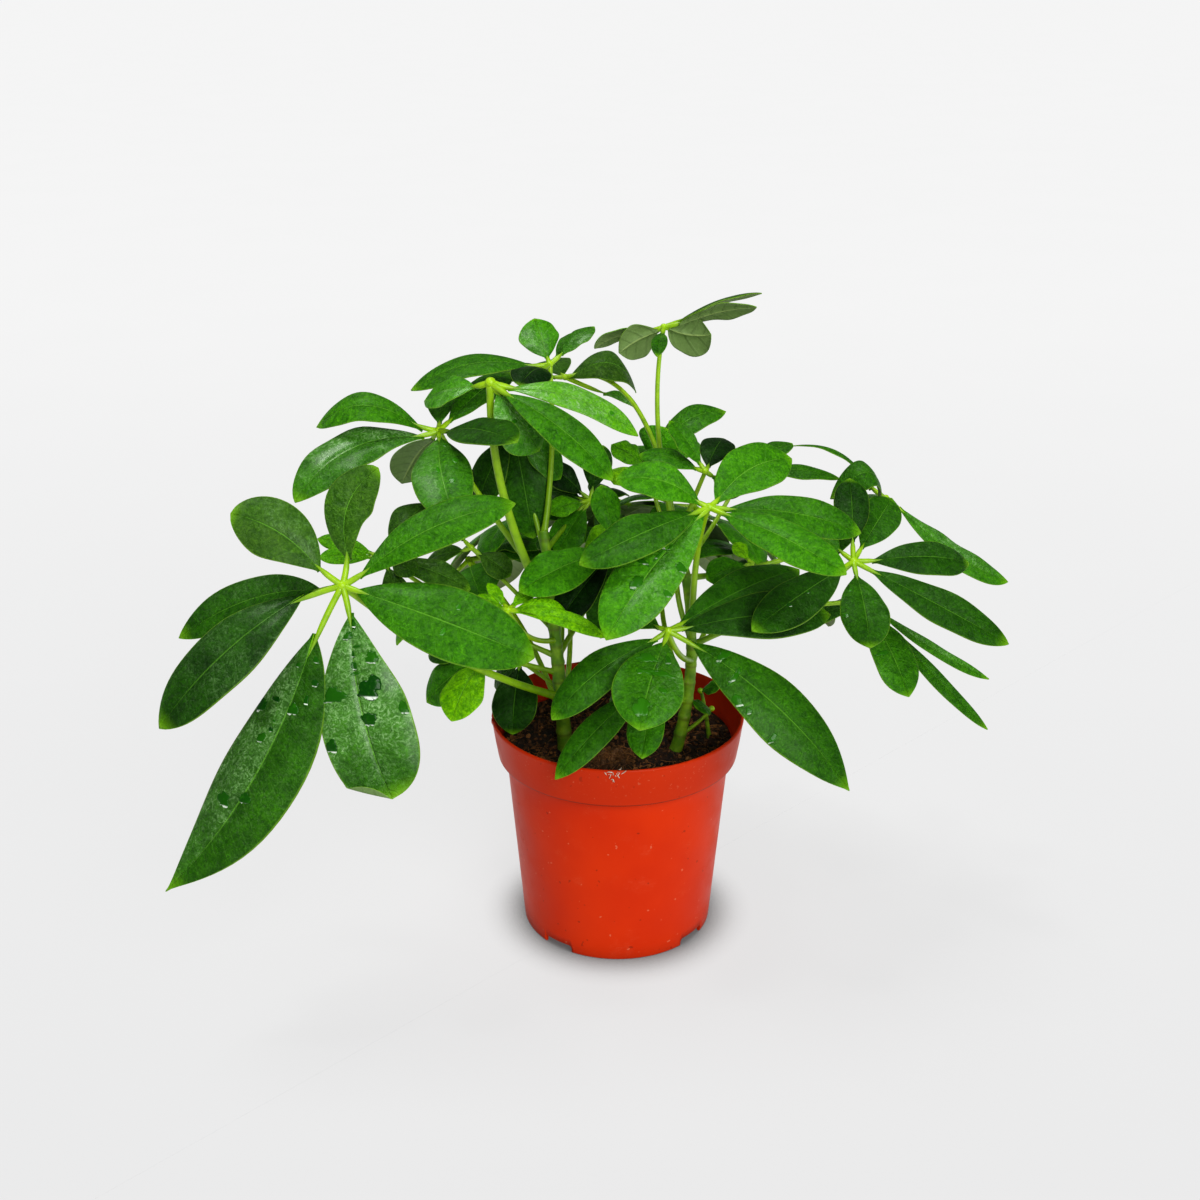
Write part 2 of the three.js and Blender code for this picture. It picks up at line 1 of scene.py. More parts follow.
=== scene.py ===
"""Potted umbrella plant: the finished look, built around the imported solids.

Metres, +Z up. Sizes that repeat the solids are kept in millimetres and scaled once.
"""

import logging
import math
from dataclasses import dataclass, field
from enum import Enum
from typing import Any, Callable, Iterable, Sequence

import bmesh
import bpy
import numpy as np
from mathutils import Matrix, Vector

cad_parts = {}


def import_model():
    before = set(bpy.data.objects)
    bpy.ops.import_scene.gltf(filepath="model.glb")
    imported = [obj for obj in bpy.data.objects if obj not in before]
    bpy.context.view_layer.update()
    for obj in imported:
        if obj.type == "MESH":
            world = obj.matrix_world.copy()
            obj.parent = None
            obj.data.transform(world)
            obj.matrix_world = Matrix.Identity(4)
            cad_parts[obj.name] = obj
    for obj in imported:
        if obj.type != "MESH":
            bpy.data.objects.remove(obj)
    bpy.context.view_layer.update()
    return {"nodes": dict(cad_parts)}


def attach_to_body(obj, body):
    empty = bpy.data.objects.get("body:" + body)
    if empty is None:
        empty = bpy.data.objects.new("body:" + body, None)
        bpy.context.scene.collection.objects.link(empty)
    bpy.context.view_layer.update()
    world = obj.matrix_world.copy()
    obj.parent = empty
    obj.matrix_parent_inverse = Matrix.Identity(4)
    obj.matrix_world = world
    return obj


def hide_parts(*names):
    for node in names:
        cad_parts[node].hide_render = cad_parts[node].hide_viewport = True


logging.basicConfig(level=logging.INFO, format="%(name)s: %(message)s")
log = logging.getLogger("plant")

MM = 0.001
BODY = "root"

# The rules that the solids follow, in mm.
LONGEST_STALK = 0.6  # as a share of the leaflet's length
STALK_WIDTH = 1.8
TIP_WIDTH = 0.7
RISE = 0.92  # how a blade widens from its foot
POINT = 0.66  # how it narrows to its tip
GIVE_LINE = np.array([0.0, 0.93, -0.37])  # the way that a leaflet bends clear of another
GIVE_STEPS = (0, 4, -4, 8, -8, 12, -12, 16, -16, 21, -21, 27, -27, 34, -34)
SHORTER = (1.0, 0.85, 0.7)
TIP_REACH = 1.2  # how near the solid's surface a leaflet's tip has to lie

TURN = 2 * math.pi


class Grow(Enum):
    """How old a leaf is: its tone from dark to light, and its youth."""

    DARK = (0.16, 0.0)
    DULL = (0.02, 0.0)
    DEEP = (0.34, 0.0)
    MID = (0.52, 0.0)
    FRESH = (0.6, 0.0)
    LIGHT = (0.78, 0.03)
    OLIVE = (0.48, 0.1)
    PALE = (0.95, 0.42)
    YOUNG = (0.95, 0.75)
    YELLOW = (0.9, 0.92)


@dataclass(frozen=True)
class Curl:
    """An edge that rolls up: the two ends of its fold line, in mm on the flat blade.

    The first number is across the blade, the second along it. What lies to the right of
    the line, seen from its first end, rolls up and over.
    """

    start: tuple[float, float]
    end: tuple[float, float]
    radius: float = 0.7


@dataclass(frozen=True)
class Row:
    """One leaflet: where its tip is from the hub, and its form, in mm.

    It rolls by degrees and sways sideways, and its foot slips off its line. Sheen and coat
    is how much painted sheen and clear coat it has, and lit is which half gets more painted
    sheen, and by how much.
    """

    tip: tuple[float, float, float]
    width: float
    arch: float
    roll: float = 0.0
    sway: float = 0.0
    slip: float = 0.0
    stalk: float | None = None
    point: float = POINT
    grow: Grow | None = None
    # How much painted sheen and clear coat, and which half gets more painted sheen:
    sheen_and_coat: float | None = None
    lit: float | None = None
    curl: Curl | None = None


@dataclass(frozen=True)
class LeafPlan:
    """One compound leaf: its petiole, its hub and its leaflets, in mm.

    The petiole is given by its stem, the height where it leaves it, and its knee.
    """

    petiole: tuple[str, float, tuple[float, float, float]] | None
    hub: tuple[float, float, float]
    face: tuple[float, float, float]
    stalk: float
    thick: float
    rows: tuple[Row, ...]
    grow: Grow = Grow.MID
    # How much painted sheen and clear coat the leaflets have:
    sheen_and_coat: float = 0.12


@dataclass(frozen=True)
class StemPlan:
    """One stem: a bow from its foot to its top, in mm."""

    foot: tuple[float, float, float]
    bow: tuple[float, float, float]
    top: tuple[float, float, float]
    radius: tuple[float, float]


STEMS: dict[str, StemPlan] = {
    "stem_1": StemPlan((-23, -12, 68.3), (-27, -16, 140), (-34, 0, 200), (3.4, 2.1)),
    "stem_2": StemPlan((19, -12, 68.3), (46, -18, 140), (24, 6, 205), (2.8, 1.8)),
    "stem_3": StemPlan((45, -1, 80.3), (44, -1, 100), (39.5, -3, 120), (1.1, 0.8)),
}

PLANS: dict[str, LeafPlan] = {
    "leaf_left_front": LeafPlan(
        ("stem_1", 122, (-75, -46, 152)), (-115, -70, 201), (-15, -65, 75), 20, 1.6, (
            Row((-46, 10, 28), 26, 2, sway=4, stalk=11, point=0.6, grow=Grow.OLIVE, sheen_and_coat=0.3),
            Row((14, 25, 43), 21, 3, sway=-7, stalk=11, point=0.6, grow=Grow.OLIVE),
            Row((72, 8, 33), 22, 6, sway=-3, stalk=8),
            Row((80, -22, -23), 32, 6, sway=1, stalk=6),
            Row((22, -42, -77), 39, 3, sway=4, slip=-1, stalk=12, point=0.45, grow=Grow.DEEP,
                sheen_and_coat=0.95, lit=0, curl=Curl((-0.7, 77.6), (18, 65.1))),
            Row((-74, -45, -119), 38, 3, sway=-11, stalk=23, point=1.05, grow=Grow.DEEP, sheen_and_coat=0.75,
                lit=0.85),
            Row((-74, -28, -52), 30, 7, sway=1, slip=8, stalk=15, grow=Grow.DARK, sheen_and_coat=0.2, lit=0),
            Row((-78, 28, -36), 21, 0, sway=8, stalk=10, grow=Grow.DEEP, sheen_and_coat=0.2),
        ), Grow.MID),
    "leaf_right_front": LeafPlan(
        ("stem_2", 150, (33, -17, 200)), (38, -40, 225), (5, -55, 83), 7, 1.4, (
            Row((-40, 0, 12), 21, 6, sway=2, stalk=4),
            Row((38, 30, 12), 25, 4, sway=-4, stalk=4),
            Row((64, -8, -9), 19, 6, grow=Grow.MID),
            Row((54, -38, -16), 21, 4),
            Row((-44, -52, -39), 28, 4, sway=2, stalk=4, sheen_and_coat=0.4),
            Row((-55, -32, -14), 22, 6, sway=-2, grow=Grow.DEEP),
        ), Grow.LIGHT),
    "leaf_front_low": LeafPlan(
        ("stem_2", 140, (26, -38, 152)), (21, -50, 172), (0, -60, 80), 6, 1.3, (
            Row((-50, -22, -32), 19, 4, sway=3),
            Row((-13, -42, -27), 30, 3, sway=1, grow=Grow.FRESH, sheen_and_coat=0.35),
            Row((78, -28, -63), 28, 8, sway=-2, slip=-3, stalk=11, point=0.85),
            Row((73, 20, -1), 23, 6, grow=Grow.DARK),
            Row((62, 50, 9), 21, 6),
            Row((-29, 40, -7), 18, 4),
        ), Grow.DEEP),
    "leaf_right_outer": LeafPlan(
        ("stem_2", 155, (78, -14, 158)), (106, -10, 189), (10, -65, 75), 9, 1.3, (
            Row((0, 25, 31), 17, 2, grow=Grow.DARK),
            Row((-16, 20, 7), 11, 2),
            Row((22, 35, 18), 19, 3),
            Row((56, 15, -7), 18, 6, grow=Grow.DARK),
            Row((67, -25, -30), 19, 3, sway=1),
            Row((2, -45, -23), 22, 3),
            Row((-50, -52, -12), 21, 4, grow=Grow.DARK),
        ), Grow.DEEP),
    "leaf_young_bright": LeafPlan(
        ("stem_1", 150, (-42, -36, 158)), (-48, -50, 182), (10, -50, 85), 3, 1.1, (
            Row((42, -12, -8), 9, 5),
            Row((26, -2, -3), 10, 6),
            Row((11, 12, 4), 7, 2),
            Row((-9, 8, 9), 6, 1),
            Row((-13, -10, 9), 7, 2),
            Row((-6, -14, -10), 6, 2),
        ), Grow.YOUNG),
    "leaf_left_low": LeafPlan(
        ("stem_1", 134, (-50, -16, 142)), (-60, -21, 149), (-30, -50, 80), 5, 1.2, (
            Row((-14, -26, -21), 21, 3, grow=Grow.YOUNG),
            Row((-28, -1, -25), 21, 3, grow=Grow.LIGHT),
            Row((-28, 14, -8), 14, 3),
        ), Grow.DEEP),
    "leaf_front_lowest": LeafPlan(
        ("stem_2", 120, (20, -27, 126)), (16, -30, 139), (0, -50, 85), 5, 1.1, (
            Row((-44, -38, -30), 15, 7),
            Row((-6, -32, -23), 17, 3),
            Row((-20, 10, -15), 13, 3),
        ), Grow.MID),
    "leaf_left_upper": LeafPlan(
        ("stem_1", 172, (-62, -4, 215)), (-79, -10, 250), (-10, -45, 89), 7, 1.3, (
            Row((-54, 5, 0), 18, 14),
            Row((-59, -30, -23), 24, 6, sway=8, sheen_and_coat=0.95, lit=0.6),
            Row((11, -52, -23), 26, 4, sway=2, stalk=5, sheen_and_coat=0.45),
            Row((-1, 40, 7), 13, 2),
            Row((30, 35, 17), 18, 3),
            Row((37, -48, 9), 21, 4, grow=Grow.DARK),
            Row((-21, 30, -34), 20, 4, roll=60),
        ), Grow.MID),
    "leaf_upper_middle": LeafPlan(
        ("stem_1", 160, (-58, -18, 222)), (-55, -20, 274), (10, -50, 85), 8, 1.9, (
            Row((21, -11, -27), 27, 3, sway=1, stalk=5, grow=Grow.LIGHT, sheen_and_coat=0.95, lit=0),
            Row((52, -30, -34), 19, 6),
            Row((63, -2, -23), 16, 7, sway=-2, grow=Grow.PALE, sheen_and_coat=0.9, lit=0),
            Row((-30, 14, -12), 18, 3, grow=Grow.LIGHT, sheen_and_coat=0.6),
        ), Grow.MID),
    "leaf_top_left": LeafPlan(
        ("stem_1", 198.5, (-28, 12, 236)), (-31, 20, 272), (0, -30, 95), 7, 1.2, (
            Row((-61, -15, -8), 20, 8),
            Row((-7, 8, 19), 19, 1, stalk=3, grow=Grow.LIGHT, sheen_and_coat=0.8),
            Row((15, 30, 8), 11, 2),
            Row((20, 14, 14), 11, 2, sheen_and_coat=0.6),
            Row((-12, -30, -2), 18, 3, grow=Grow.DULL),
        ), Grow.MID),
    "leaf_top_right": LeafPlan(
        ("stem_2", 204, (13, 14, 250)), (20, 20, 289), (10, 45, 89), 7, 1.1, (
            Row((40, -10, 11), 19, 2),
            Row((45, 20, 11), 17, 3),
            Row((21, -2, -3), 21, 2, roll=-40, sway=-3, stalk=2),
            Row((-31, 10, -12), 16, 3, grow=Grow.LIGHT, sheen_and_coat=0.6),
            Row((-20, -3, -11), 19, 2, roll=40, stalk=3),
            Row((-4, -30, -6), 7, 2, grow=Grow.DEEP),
        ), Grow.OLIVE),
    "leaf_right_back": LeafPlan(
        ("stem_2", 178, (92, 24, 172)), (128, 40, 202), (10, -40, 90), 8, 1.2, (
            Row((-28, -10, 3), 18, 17, stalk=3),
            Row((61, -5, -41), 16, 0, sway=5, grow=Grow.FRESH, sheen_and_coat=0.6),
            Row((-43, 20, 20), 8, 8, roll=30),
            Row((-29, 5, -34), 15, 4),
            Row((-12, 44, -22), 18, 5),
        ), Grow.DEEP),
    "leaf_right_low": LeafPlan(
        ("stem_2", 147, (84, 18, 160)), (118, 20, 156), (10, -45, 88), 7, 1.2, (
            Row((61, -6, -37), 8, 1, sway=3, grow=Grow.FRESH, sheen_and_coat=0.5),
            Row((59, -20, -57), 9, 2, sway=2),
            Row((18, -30, -35), 23, 3, grow=Grow.FRESH),
            Row((-30, 16, -20), 16, 4),
            Row((-14, 42, -24), 18, 5),
        ), Grow.DEEP),
    "leaf_right_bud": LeafPlan(
        ("stem_2", 195, (33, -2, 214)), (38, -12, 232), (0, -30, 95), 4, 1.1, (
            Row((-16, 7, 21), 13, 2),
            Row((10, 30, 6), 16, 3, grow=Grow.DULL),
            Row((-29, 8, 5), 14, 3),
            Row((15, -4, -10), 17, 2),
        ), Grow.MID),
    "leaf_centre": LeafPlan(
        ("stem_1", 178, (-16, -12, 192)), (-1, -25, 201), (-10, -55, 83), 6, 1.2, (
            Row((-42, -25, -11), 23, 4, grow=Grow.LIGHT),
            Row((-24, -30, -22), 17, 3, grow=Grow.DULL),
            Row((-7, 15, 24), 13, 2),
            Row((12, -22, -24), 15, 3),
            Row((-7, -6, -40), 18, 3, grow=Grow.DEEP),
        ), Grow.LIGHT),
    "leaf_centre_back": LeafPlan(
        ("stem_2", 189, (18, 36, 193)), (16, 50, 213), (0, -35, 93), 5, 1.1, (
            Row((7, 0, 21), 24, 2),
            Row((-19, 5, 11), 17, 2, grow=Grow.PALE),
            Row((-18, -25, 1), 17, 3, grow=Grow.YELLOW),
            Row((36, 10, 26), 17, 12, grow=Grow.MID),
            Row((24, 34, 4), 18, 4),
            Row((-14, 40, -2), 18, 4),
        ), Grow.LIGHT),
    "leaf_right_upper": LeafPlan(
        ("stem_2", 183, (46, 40, 186)), (60, 48, 212), (0, -30, 95), 6, 1.1, (
            Row((46, -6, -1), 12, 4),
            Row((25, 16, 10), 13, 3),
            Row((6, 44, -6), 18, 4),
            Row((-16, -6, 14), 12, 2),
        ), Grow.DEEP),
    "leaf_top_back": LeafPlan(
        ("stem_2", 197, (14, 56, 268)), (-25, 60, 256), (0, -40, 90), 5, 1.1, (
            Row((34, 5, -9), 24, 14, stalk=2, point=1),
            Row((36, 14, -20), 9, 3, stalk=22, grow=Grow.LIGHT, sheen_and_coat=0.9),
            Row((-12, 44, -6), 20, 5),
            Row((-44, 18, -8), 18, 5),
        ), Grow.OLIVE),
    "leaf_left_inner": LeafPlan(
        ("stem_1", 142, (-74, -4, 160)), (-106, -10, 191), (-10, -50, 85), 6, 1.1, (
            Row((-31, 10, 5), 9, 2, grow=Grow.PALE),
            Row((-27, -12, 4), 10, 2, grow=Grow.PALE),
            Row((40, -15, -10), 14, 4),
            Row((14, -26, -24), 14, 3),
            Row((16, -12, -4), 11, 2),
            Row((18, 22, 18), 20, 3),
        ), Grow.OLIVE),
    "leaf_left_small": LeafPlan(
        ("stem_1", 154, (-52, 10, 170)), (-68, 10, 188), (-10, -40, 90), 5, 1, (
            Row((-16, 8, 14), 16, 2),
            Row((18, -6, -12), 14, 2),
            Row((-24, 12, -14), 15, 3),
        ), Grow.OLIVE),
    "leaf_middle_left": LeafPlan(
        ("stem_1", 184, (-42, 10, 220)), (-48, 15, 245), (0, -55, 80), 6, 1.1, (
            Row((9, -12, -50), 23, 3, grow=Grow.DEEP),
            Row((-16, -10, -34), 18, 3),
            Row((22, -5, -24), 16, 3, grow=Grow.MID, sheen_and_coat=0.6),
            Row((26, 28, -4), 18, 4),
        ), Grow.DARK),
    "leaf_middle": LeafPlan(
        ("stem_1", 191, (-24, 16, 198)), (-13, 20, 208), (0, -50, 86), 5, 1.1, (
            Row((-20, -6, 18), 15, 3, grow=Grow.DULL),
            Row((-15, -14, -22), 17, 3, grow=Grow.LIGHT),
            Row((16, -10, -26), 17, 3),
            Row((6, 14, 22), 14, 3),
            Row((-28, 10, 0), 16, 3),
            Row((-18, -12, -3), 12, 3, grow=Grow.PALE),
            Row((12, 34, -8), 20, 4),
        ), Grow.DARK),
    "leaf_inner": LeafPlan(
        ("stem_1", 166, (-25, 2, 178)), (-20, 6, 185), (0, -50, 86), 5, 1.1, (
            Row((-18, -4, 13), 15, 3),
            Row((-14, -10, -20), 17, 3),
            Row((17, -8, -20), 17, 3),
            Row((20, 2, 12), 16, 3, grow=Grow.YOUNG),
        ), Grow.DARK),
    "leaf_young_yellow": LeafPlan(
        ("stem_2", 164, (54, -6, 168)), (61, 0, 184), (0, -60, 80), 3, 0.9, (
            Row((-21, -8, -5), 15, 3, grow=Grow.FRESH),
            Row((-8, 5, 8), 8, 1),
        ), Grow.YELLOW),
    "leaf_over_rim": LeafPlan(
        ("stem_1", 126, (-41, -3, 133)), (-46, 2, 134), (-20, -60, 75), 3, 1, (
            Row((-3, -18, -31), 22, 3),
            Row((-13, 8, -17), 13, 2),
        ), Grow.DARK),
    "leaf_basal": LeafPlan(
        ("stem_2", 103, (38, -12, 108)), (44, -10, 115), (10, -40, 90), 2, 0.9, (
            Row((-10, -6, 4), 11, 1, grow=Grow.MID),
        ), Grow.DEEP),
}


def unit(v: np.ndarray) -> np.ndarray:
    """The vector, or each row of vectors, at length one."""
    return v / np.maximum(np.linalg.norm(v, axis=-1, keepdims=True), 1e-9)


def turned(v: np.ndarray, axis: np.ndarray, angle: float | np.ndarray) -> np.ndarray:
    """Vectors turned about unit axes by angles in radians.

    Args:
        v: the vectors.
        axis: one axis, or one for each vector.
        angle: one angle, or one for each vector.

    Returns:
        The turned vectors.
    """
    angle = np.asarray(angle)[..., None]
    dot = np.sum(v * axis, axis=-1, keepdims=True)
    return v * np.cos(angle) + np.cross(axis, v) * np.sin(angle) + axis * dot * (1 - np.cos(angle))


def smooth(low: float, high: float, x: np.ndarray) -> np.ndarray:
    """A soft step from 0 at low to 1 at high."""
    u = np.clip((x - low) / (high - low), 0, 1)
    return u * u * (3 - 2 * u)


def blade_shape(s: np.ndarray, point: float) -> np.ndarray:
    """Half width of a blade at share s of its length, 1 where it is broadest.

    Args:
        s: shares of the length.
        point: how the blade narrows to its tip.

    Returns:
        The half width at each share.
    """
    peak = RISE / (RISE + point)
    most = peak ** RISE * (1 - peak) ** point
    return s ** RISE * (1 - s) ** point / most


def shell(rings: int, sides: int, flipped: bool = False) -> list[tuple[int, ...]]:
    """Faces of a closed round shell, whose points are a pole, its rings and a second pole.

    Args:
        rings: how many rings there are.
        sides: points in a ring.
        flipped: whether the faces look the other way.

    Returns:
        The corner numbers of each face.
    """
    last = 1 + (rings - 1) * sides
    faces: list[tuple[int, ...]] = []
    for k in range(sides):
        after = (k + 1) % sides
        faces.append((0, 1 + k, 1 + after))
        faces.append((last + sides, last + after, last + k))
        for first in range(1, last, sides):
            a, b = first + k, first + after
            faces.append((a, a + sides, b + sides, b))
    return [(face[0], *face[:0:-1]) for face in faces] if flipped else faces


def around(sides: int) -> np.ndarray:
    """The angles of so many points around a ring, in radians."""
    return TURN * np.arange(sides) / sides


@dataclass(frozen=True)
class Bow:
    """A quadratic curve from start, pulled by a middle point, to end."""

    start: np.ndarray
    pull: np.ndarray
    end: np.ndarray

    def at(self, t: np.ndarray) -> np.ndarray:
        """Points at shares t of the curve."""
        t = np.asarray(t, float)[..., None]
        return (1 - t) ** 2 * self.start + 2 * t * (1 - t) * self.pull + t * t * self.end

    def along(self, t: np.ndarray) -> np.ndarray:
        """Unit tangents at shares t of the curve."""
        t = np.asarray(t, float)[..., None]
        return unit(2 * (1 - t) * (self.pull - self.start) + 2 * t * (self.end - self.pull))


class Draft:
    """Points and faces of a piece while it is made, in mm, with its UV layers."""

    def __init__(self, layers: Sequence[str]) -> None:
        """Starts an empty draft.

        Args:
            layers: names of the UV layers that each point carries.
        """
        self.layers = list(layers)
        self.points: list[np.ndarray] = []
        self.values: list[np.ndarray] = []
        self.faces: list[list[int]] = []
        self.finish: list[int] = []
        self.flat: list[bool] = []
        self.count = 0

    def add(self, points: np.ndarray, faces: Iterable[Sequence[int]], finish: int,
            values: dict[str, np.ndarray] | None = None, flat: bool = False) -> int:
        """Adds points and faces.

        Args:
            points: places in mm, one row each.
            faces: corner numbers, counted from the first of these points.
            finish: number of the material slot.
            values: two numbers a point for each UV layer.
            flat: whether the faces are shaded flat.

        Returns:
            The number of the first point.
        """
        points = np.asarray(points, float)
        block = np.zeros((len(points), len(self.layers), 2))
        for name, value in (values or {}).items():
            block[:, self.layers.index(name)] = value
        start = self.count
        self.points.append(points)
        self.values.append(block)
        self.count += len(points)
        self.join(([start + c for c in face] for face in faces), finish, flat)
        return start

    def join(self, faces: Iterable[Sequence[int]], finish: int, flat: bool) -> None:
        """Adds faces between points that are already there.

        Args:
            faces: corner numbers, counted from the draft's first point.
            finish: number of the material slot.
            flat: whether the faces are shaded flat.
        """
        for face in faces:
            self.faces.append([int(c) for c in face])
            self.finish.append(finish)
            self.flat.append(flat)

    def tube(self, bow: Bow, radius: Callable[[np.ndarray], np.ndarray], sides: int, steps: int,
             finish: int, values: dict[str, tuple[float, float]] | None = None,
             wobble: Callable[[np.ndarray, np.ndarray], np.ndarray] | None = None) -> None:
        """Adds a closed round rod along a bow.

        Args:
            bow: the curve.
            radius: mm for shares of the length.
            sides: corners around.
            steps: rings along.
            finish: number of the material slot.
            values: two numbers for each UV layer, the same all over.
            wobble: share of the radius to add for share of length and angle.
        """
        t = np.linspace(0, 1, steps + 1)
        centre, along = bow.at(t), bow.along(t)
        chord = unit(bow.end - bow.start)
        across = np.cross(chord, [0.31, 0.2, 0.93])
        across = unit(across if np.linalg.norm(across) > 0.1 else np.array([1.0, 0, 0]))
        side = unit(np.cross(along, across))
        second = np.cross(side, along)
        angle = around(sides)
        r = radius(t)[:, None] * np.ones(sides)
        if wobble:
            r = r * (1 + wobble(t[:, None], angle[None, :]))
        spoke = (np.cos(angle)[None, :, None] * side[:, None]
                 + np.sin(angle)[None, :, None] * second[:, None])
        ring = centre[:, None] + r[..., None] * spoke
        points = np.concatenate([centre[:1], ring.reshape(-1, 3), centre[-1:]])
        block = {name: np.tile(value, (len(points), 1)) for name, value in (values or {}).items()}
        if "blade" in self.layers:
            lengths = np.concatenate([[0], np.repeat(t, sides), [1]])
            turns = np.concatenate([[0], np.tile(angle / TURN, steps + 1), [0]])
            block["blade"] = np.stack([turns, lengths], 1)
        self.add(points, shell(steps + 1, sides), finish, block)

    def build(self, name: str, finishes: Sequence[bpy.types.Material]) -> bpy.types.Object:
        """Makes the mesh and its object.

        Args:
            name: the piece's name.
            finishes: its materials, in the order of their slots.

        Returns:
            The new object.
        """
        points = np.concatenate(self.points) * MM
        mesh = bpy.data.meshes.new(name)
        mesh.from_pydata(points.tolist(), [], self.faces)
        mesh.polygons.foreach_set("material_index", self.finish)
        mesh.polygons.foreach_set("use_smooth", [not f for f in self.flat])
        corners = np.empty(len(mesh.loops), dtype=np.int64)
        mesh.loops.foreach_get("vertex_index", corners)
        values = np.concatenate(self.values)
        for i, layer in enumerate(self.layers):
            uv = mesh.uv_layers.new(name=layer)
            uv.data.foreach_set("uv", values[corners, i].astype(np.float32).ravel())
        for finish in finishes:
            mesh.materials.append(finish)
        mesh.validate()
        mesh.update()
        piece = bpy.data.objects.new(name, mesh)
        bpy.context.collection.objects.link(piece)
        return piece


def put(piece: bpy.types.Object, slot: str, *nodes: str) -> None:
    """Rides a piece on the body, logs its slot and hides the solids that it stands for.

    Args:
        piece: the piece.
        slot: its slot.
        nodes: the solids that it replaces.
    """
    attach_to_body(piece, BODY)
    if nodes:
        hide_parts(*nodes)
    log.info("%s: %d faces, slot %s", piece.name, len(piece.data.polygons), slot)


class Sock:
    """A shader value that takes part in Python sums."""

    def __init__(self, shade: "Shade", socket: bpy.types.NodeSocket) -> None:
        """Wraps one output socket of a shade's tree."""
        self.shade = shade
        self.socket = socket

    def _math(self, operation: str, *values: Any) -> "Sock":
        """A Math node on these values."""
        return self.shade.node("ShaderNodeMath", {"operation": operation}, *values)

    def __add__(self, other: Any) -> "Sock":
        """The sum."""
        return self._math("ADD", self, other)

    def __radd__(self, other: Any) -> "Sock":
        """The sum, the other way round."""
        return self._math("ADD", other, self)

    def __sub__(self, other: Any) -> "Sock":
        """The difference."""
        return self._math("SUBTRACT", self, other)

    def __rsub__(self, other: Any) -> "Sock":
        """The difference, the other way round."""
        return self._math("SUBTRACT", other, self)

    def __mul__(self, other: Any) -> "Sock":
        """The product."""
        return self._math("MULTIPLY", self, other)

    def __rmul__(self, other: Any) -> "Sock":
        """The product, the other way round."""
        return self._math("MULTIPLY", other, self)

    def __truediv__(self, other: Any) -> "Sock":
        """The quotient."""
        return self._math("DIVIDE", self, other)

    def __pow__(self, other: Any) -> "Sock":
        """The power."""
        return self._math("POWER", self, other)

    def sine(self) -> "Sock":
        """Its sine."""
        return self._math("SINE", self)

    def size(self) -> "Sock":
        """Its size without its sign."""
        return self._math("ABSOLUTE", self)

    def most(self, other: Any) -> "Sock":
        """The larger of the two."""
        return self._math("MAXIMUM", self, other)

    def band(self, low: float, high: float) -> "Sock":
        """A soft step from 0 at low to 1 at high."""
        settings = {"interpolation_type": "SMOOTHSTEP"}
        return self.shade.node("ShaderNodeMapRange", settings, self, low, high, 0.0, 1.0)


class Shade:
    """A material's node tree, with a Principled shader at its end."""

    def __init__(self, name: str) -> None:
        """Starts a material of that name.

        Args:
            name: the material's name.
        """
        self.material = bpy.data.materials.new(name)
        self.material.use_nodes = True
        self.tree = self.material.node_tree
        self.bsdf = self.tree.nodes["Principled BSDF"]

    def node(self, kind: str, settings: dict[str, Any] | None = None, *values: Any,
             out: int | str = 0, **named: Any) -> Sock:
        """Adds a node.

        Args:
            kind: the node's type.
            settings: properties that are set before its sockets.
            values: what its first inputs take, in order, with None for one left alone.
            out: the output that is wanted.
            named: what its other inputs take, by name, with _ for a space.

        Returns:
            The wanted output.
        """
        node = self.tree.nodes.new(kind)
        for key, value in (settings or {}).items():
            setattr(node, key, value)
        for i, value in enumerate(values):
            self._give(node.inputs[i], value)
        for key, value in named.items():
            self._give(node.inputs[key.replace("_", " ")], value)
        return Sock(self, node.outputs[out])

    def _give(self, socket: bpy.types.NodeSocket, value: Any) -> None:
        """Links a value into a socket, or sets it there.

        Args:
            socket: the input.
            value: a Sock to link, a plain value to set, or None to leave it.
        """
        if isinstance(value, Sock):
            self.tree.links.new(value.socket, socket)
        elif value is not None:
            socket.default_value = value

    def blend(self, mode: str, factor: Any, first: Any, second: Any) -> Sock:
        """Two colours put together in a mixing mode.

        Args:
            mode: the Mix node's blend type.
            factor: how much of the second goes in.
            first: the colour below.
            second: the colour on top.

        Returns:
            The colour.
        """
        settings = {"data_type": "RGBA", "blend_type": mode}
        skipped = [None] * 5  # its sockets for plain numbers and vectors
        return self.node("ShaderNodeMix", settings, factor, *skipped, first, second, out=2)

    def mix(self, factor: Any, first: Any, second: Any) -> Sock:
        """A colour between two, by a factor."""
        return self.blend("MIX", factor, first, second)

    def place(self) -> Sock:
        """The point on the object, in metres."""
        return self.node("ShaderNodeTexCoord", out="Object")

    def split(self, vector: Sock) -> tuple[Sock, ...]:
        """The three parts of a vector."""
        node = self.node("ShaderNodeSeparateXYZ", None, vector).socket.node
        return tuple(Sock(self, part) for part in node.outputs)

    def layer(self, name: str) -> tuple[Sock, ...]:
        """The two numbers of a UV layer."""
        return self.split(self.node("ShaderNodeUVMap", {"uv_map": name}))[:2]

    def noise(self, place: Sock, scale: float, detail: float = 2.0, rough: float = 0.5,
              twist: float = 0.0) -> Sock:
        """Noise about 0.5 at a scale, in cells a metre."""
        return self.node("ShaderNodeTexNoise", None, Vector=place, Scale=scale, Detail=detail,
                         Roughness=rough, Distortion=twist)

    def bump(self, height: Sock, depth: float, strength: float = 1.0) -> Sock:
        """A normal from a height, whose whole range is depth metres."""
        return self.node("ShaderNodeBump", None, Strength=strength, Distance=depth, Height=height)

    def finish(self, **named: Any) -> bpy.types.Material:
        """Sets the Principled shader's inputs and returns the material.

        Args:
            named: a value for each input, by name, with _ for a space.

        Returns:
            The material.
        """
        for key, value in named.items():
            self._give(self.bsdf.inputs[key.replace("_", " ")], value)
        return self.material


Colour = tuple[float, float, float, float]


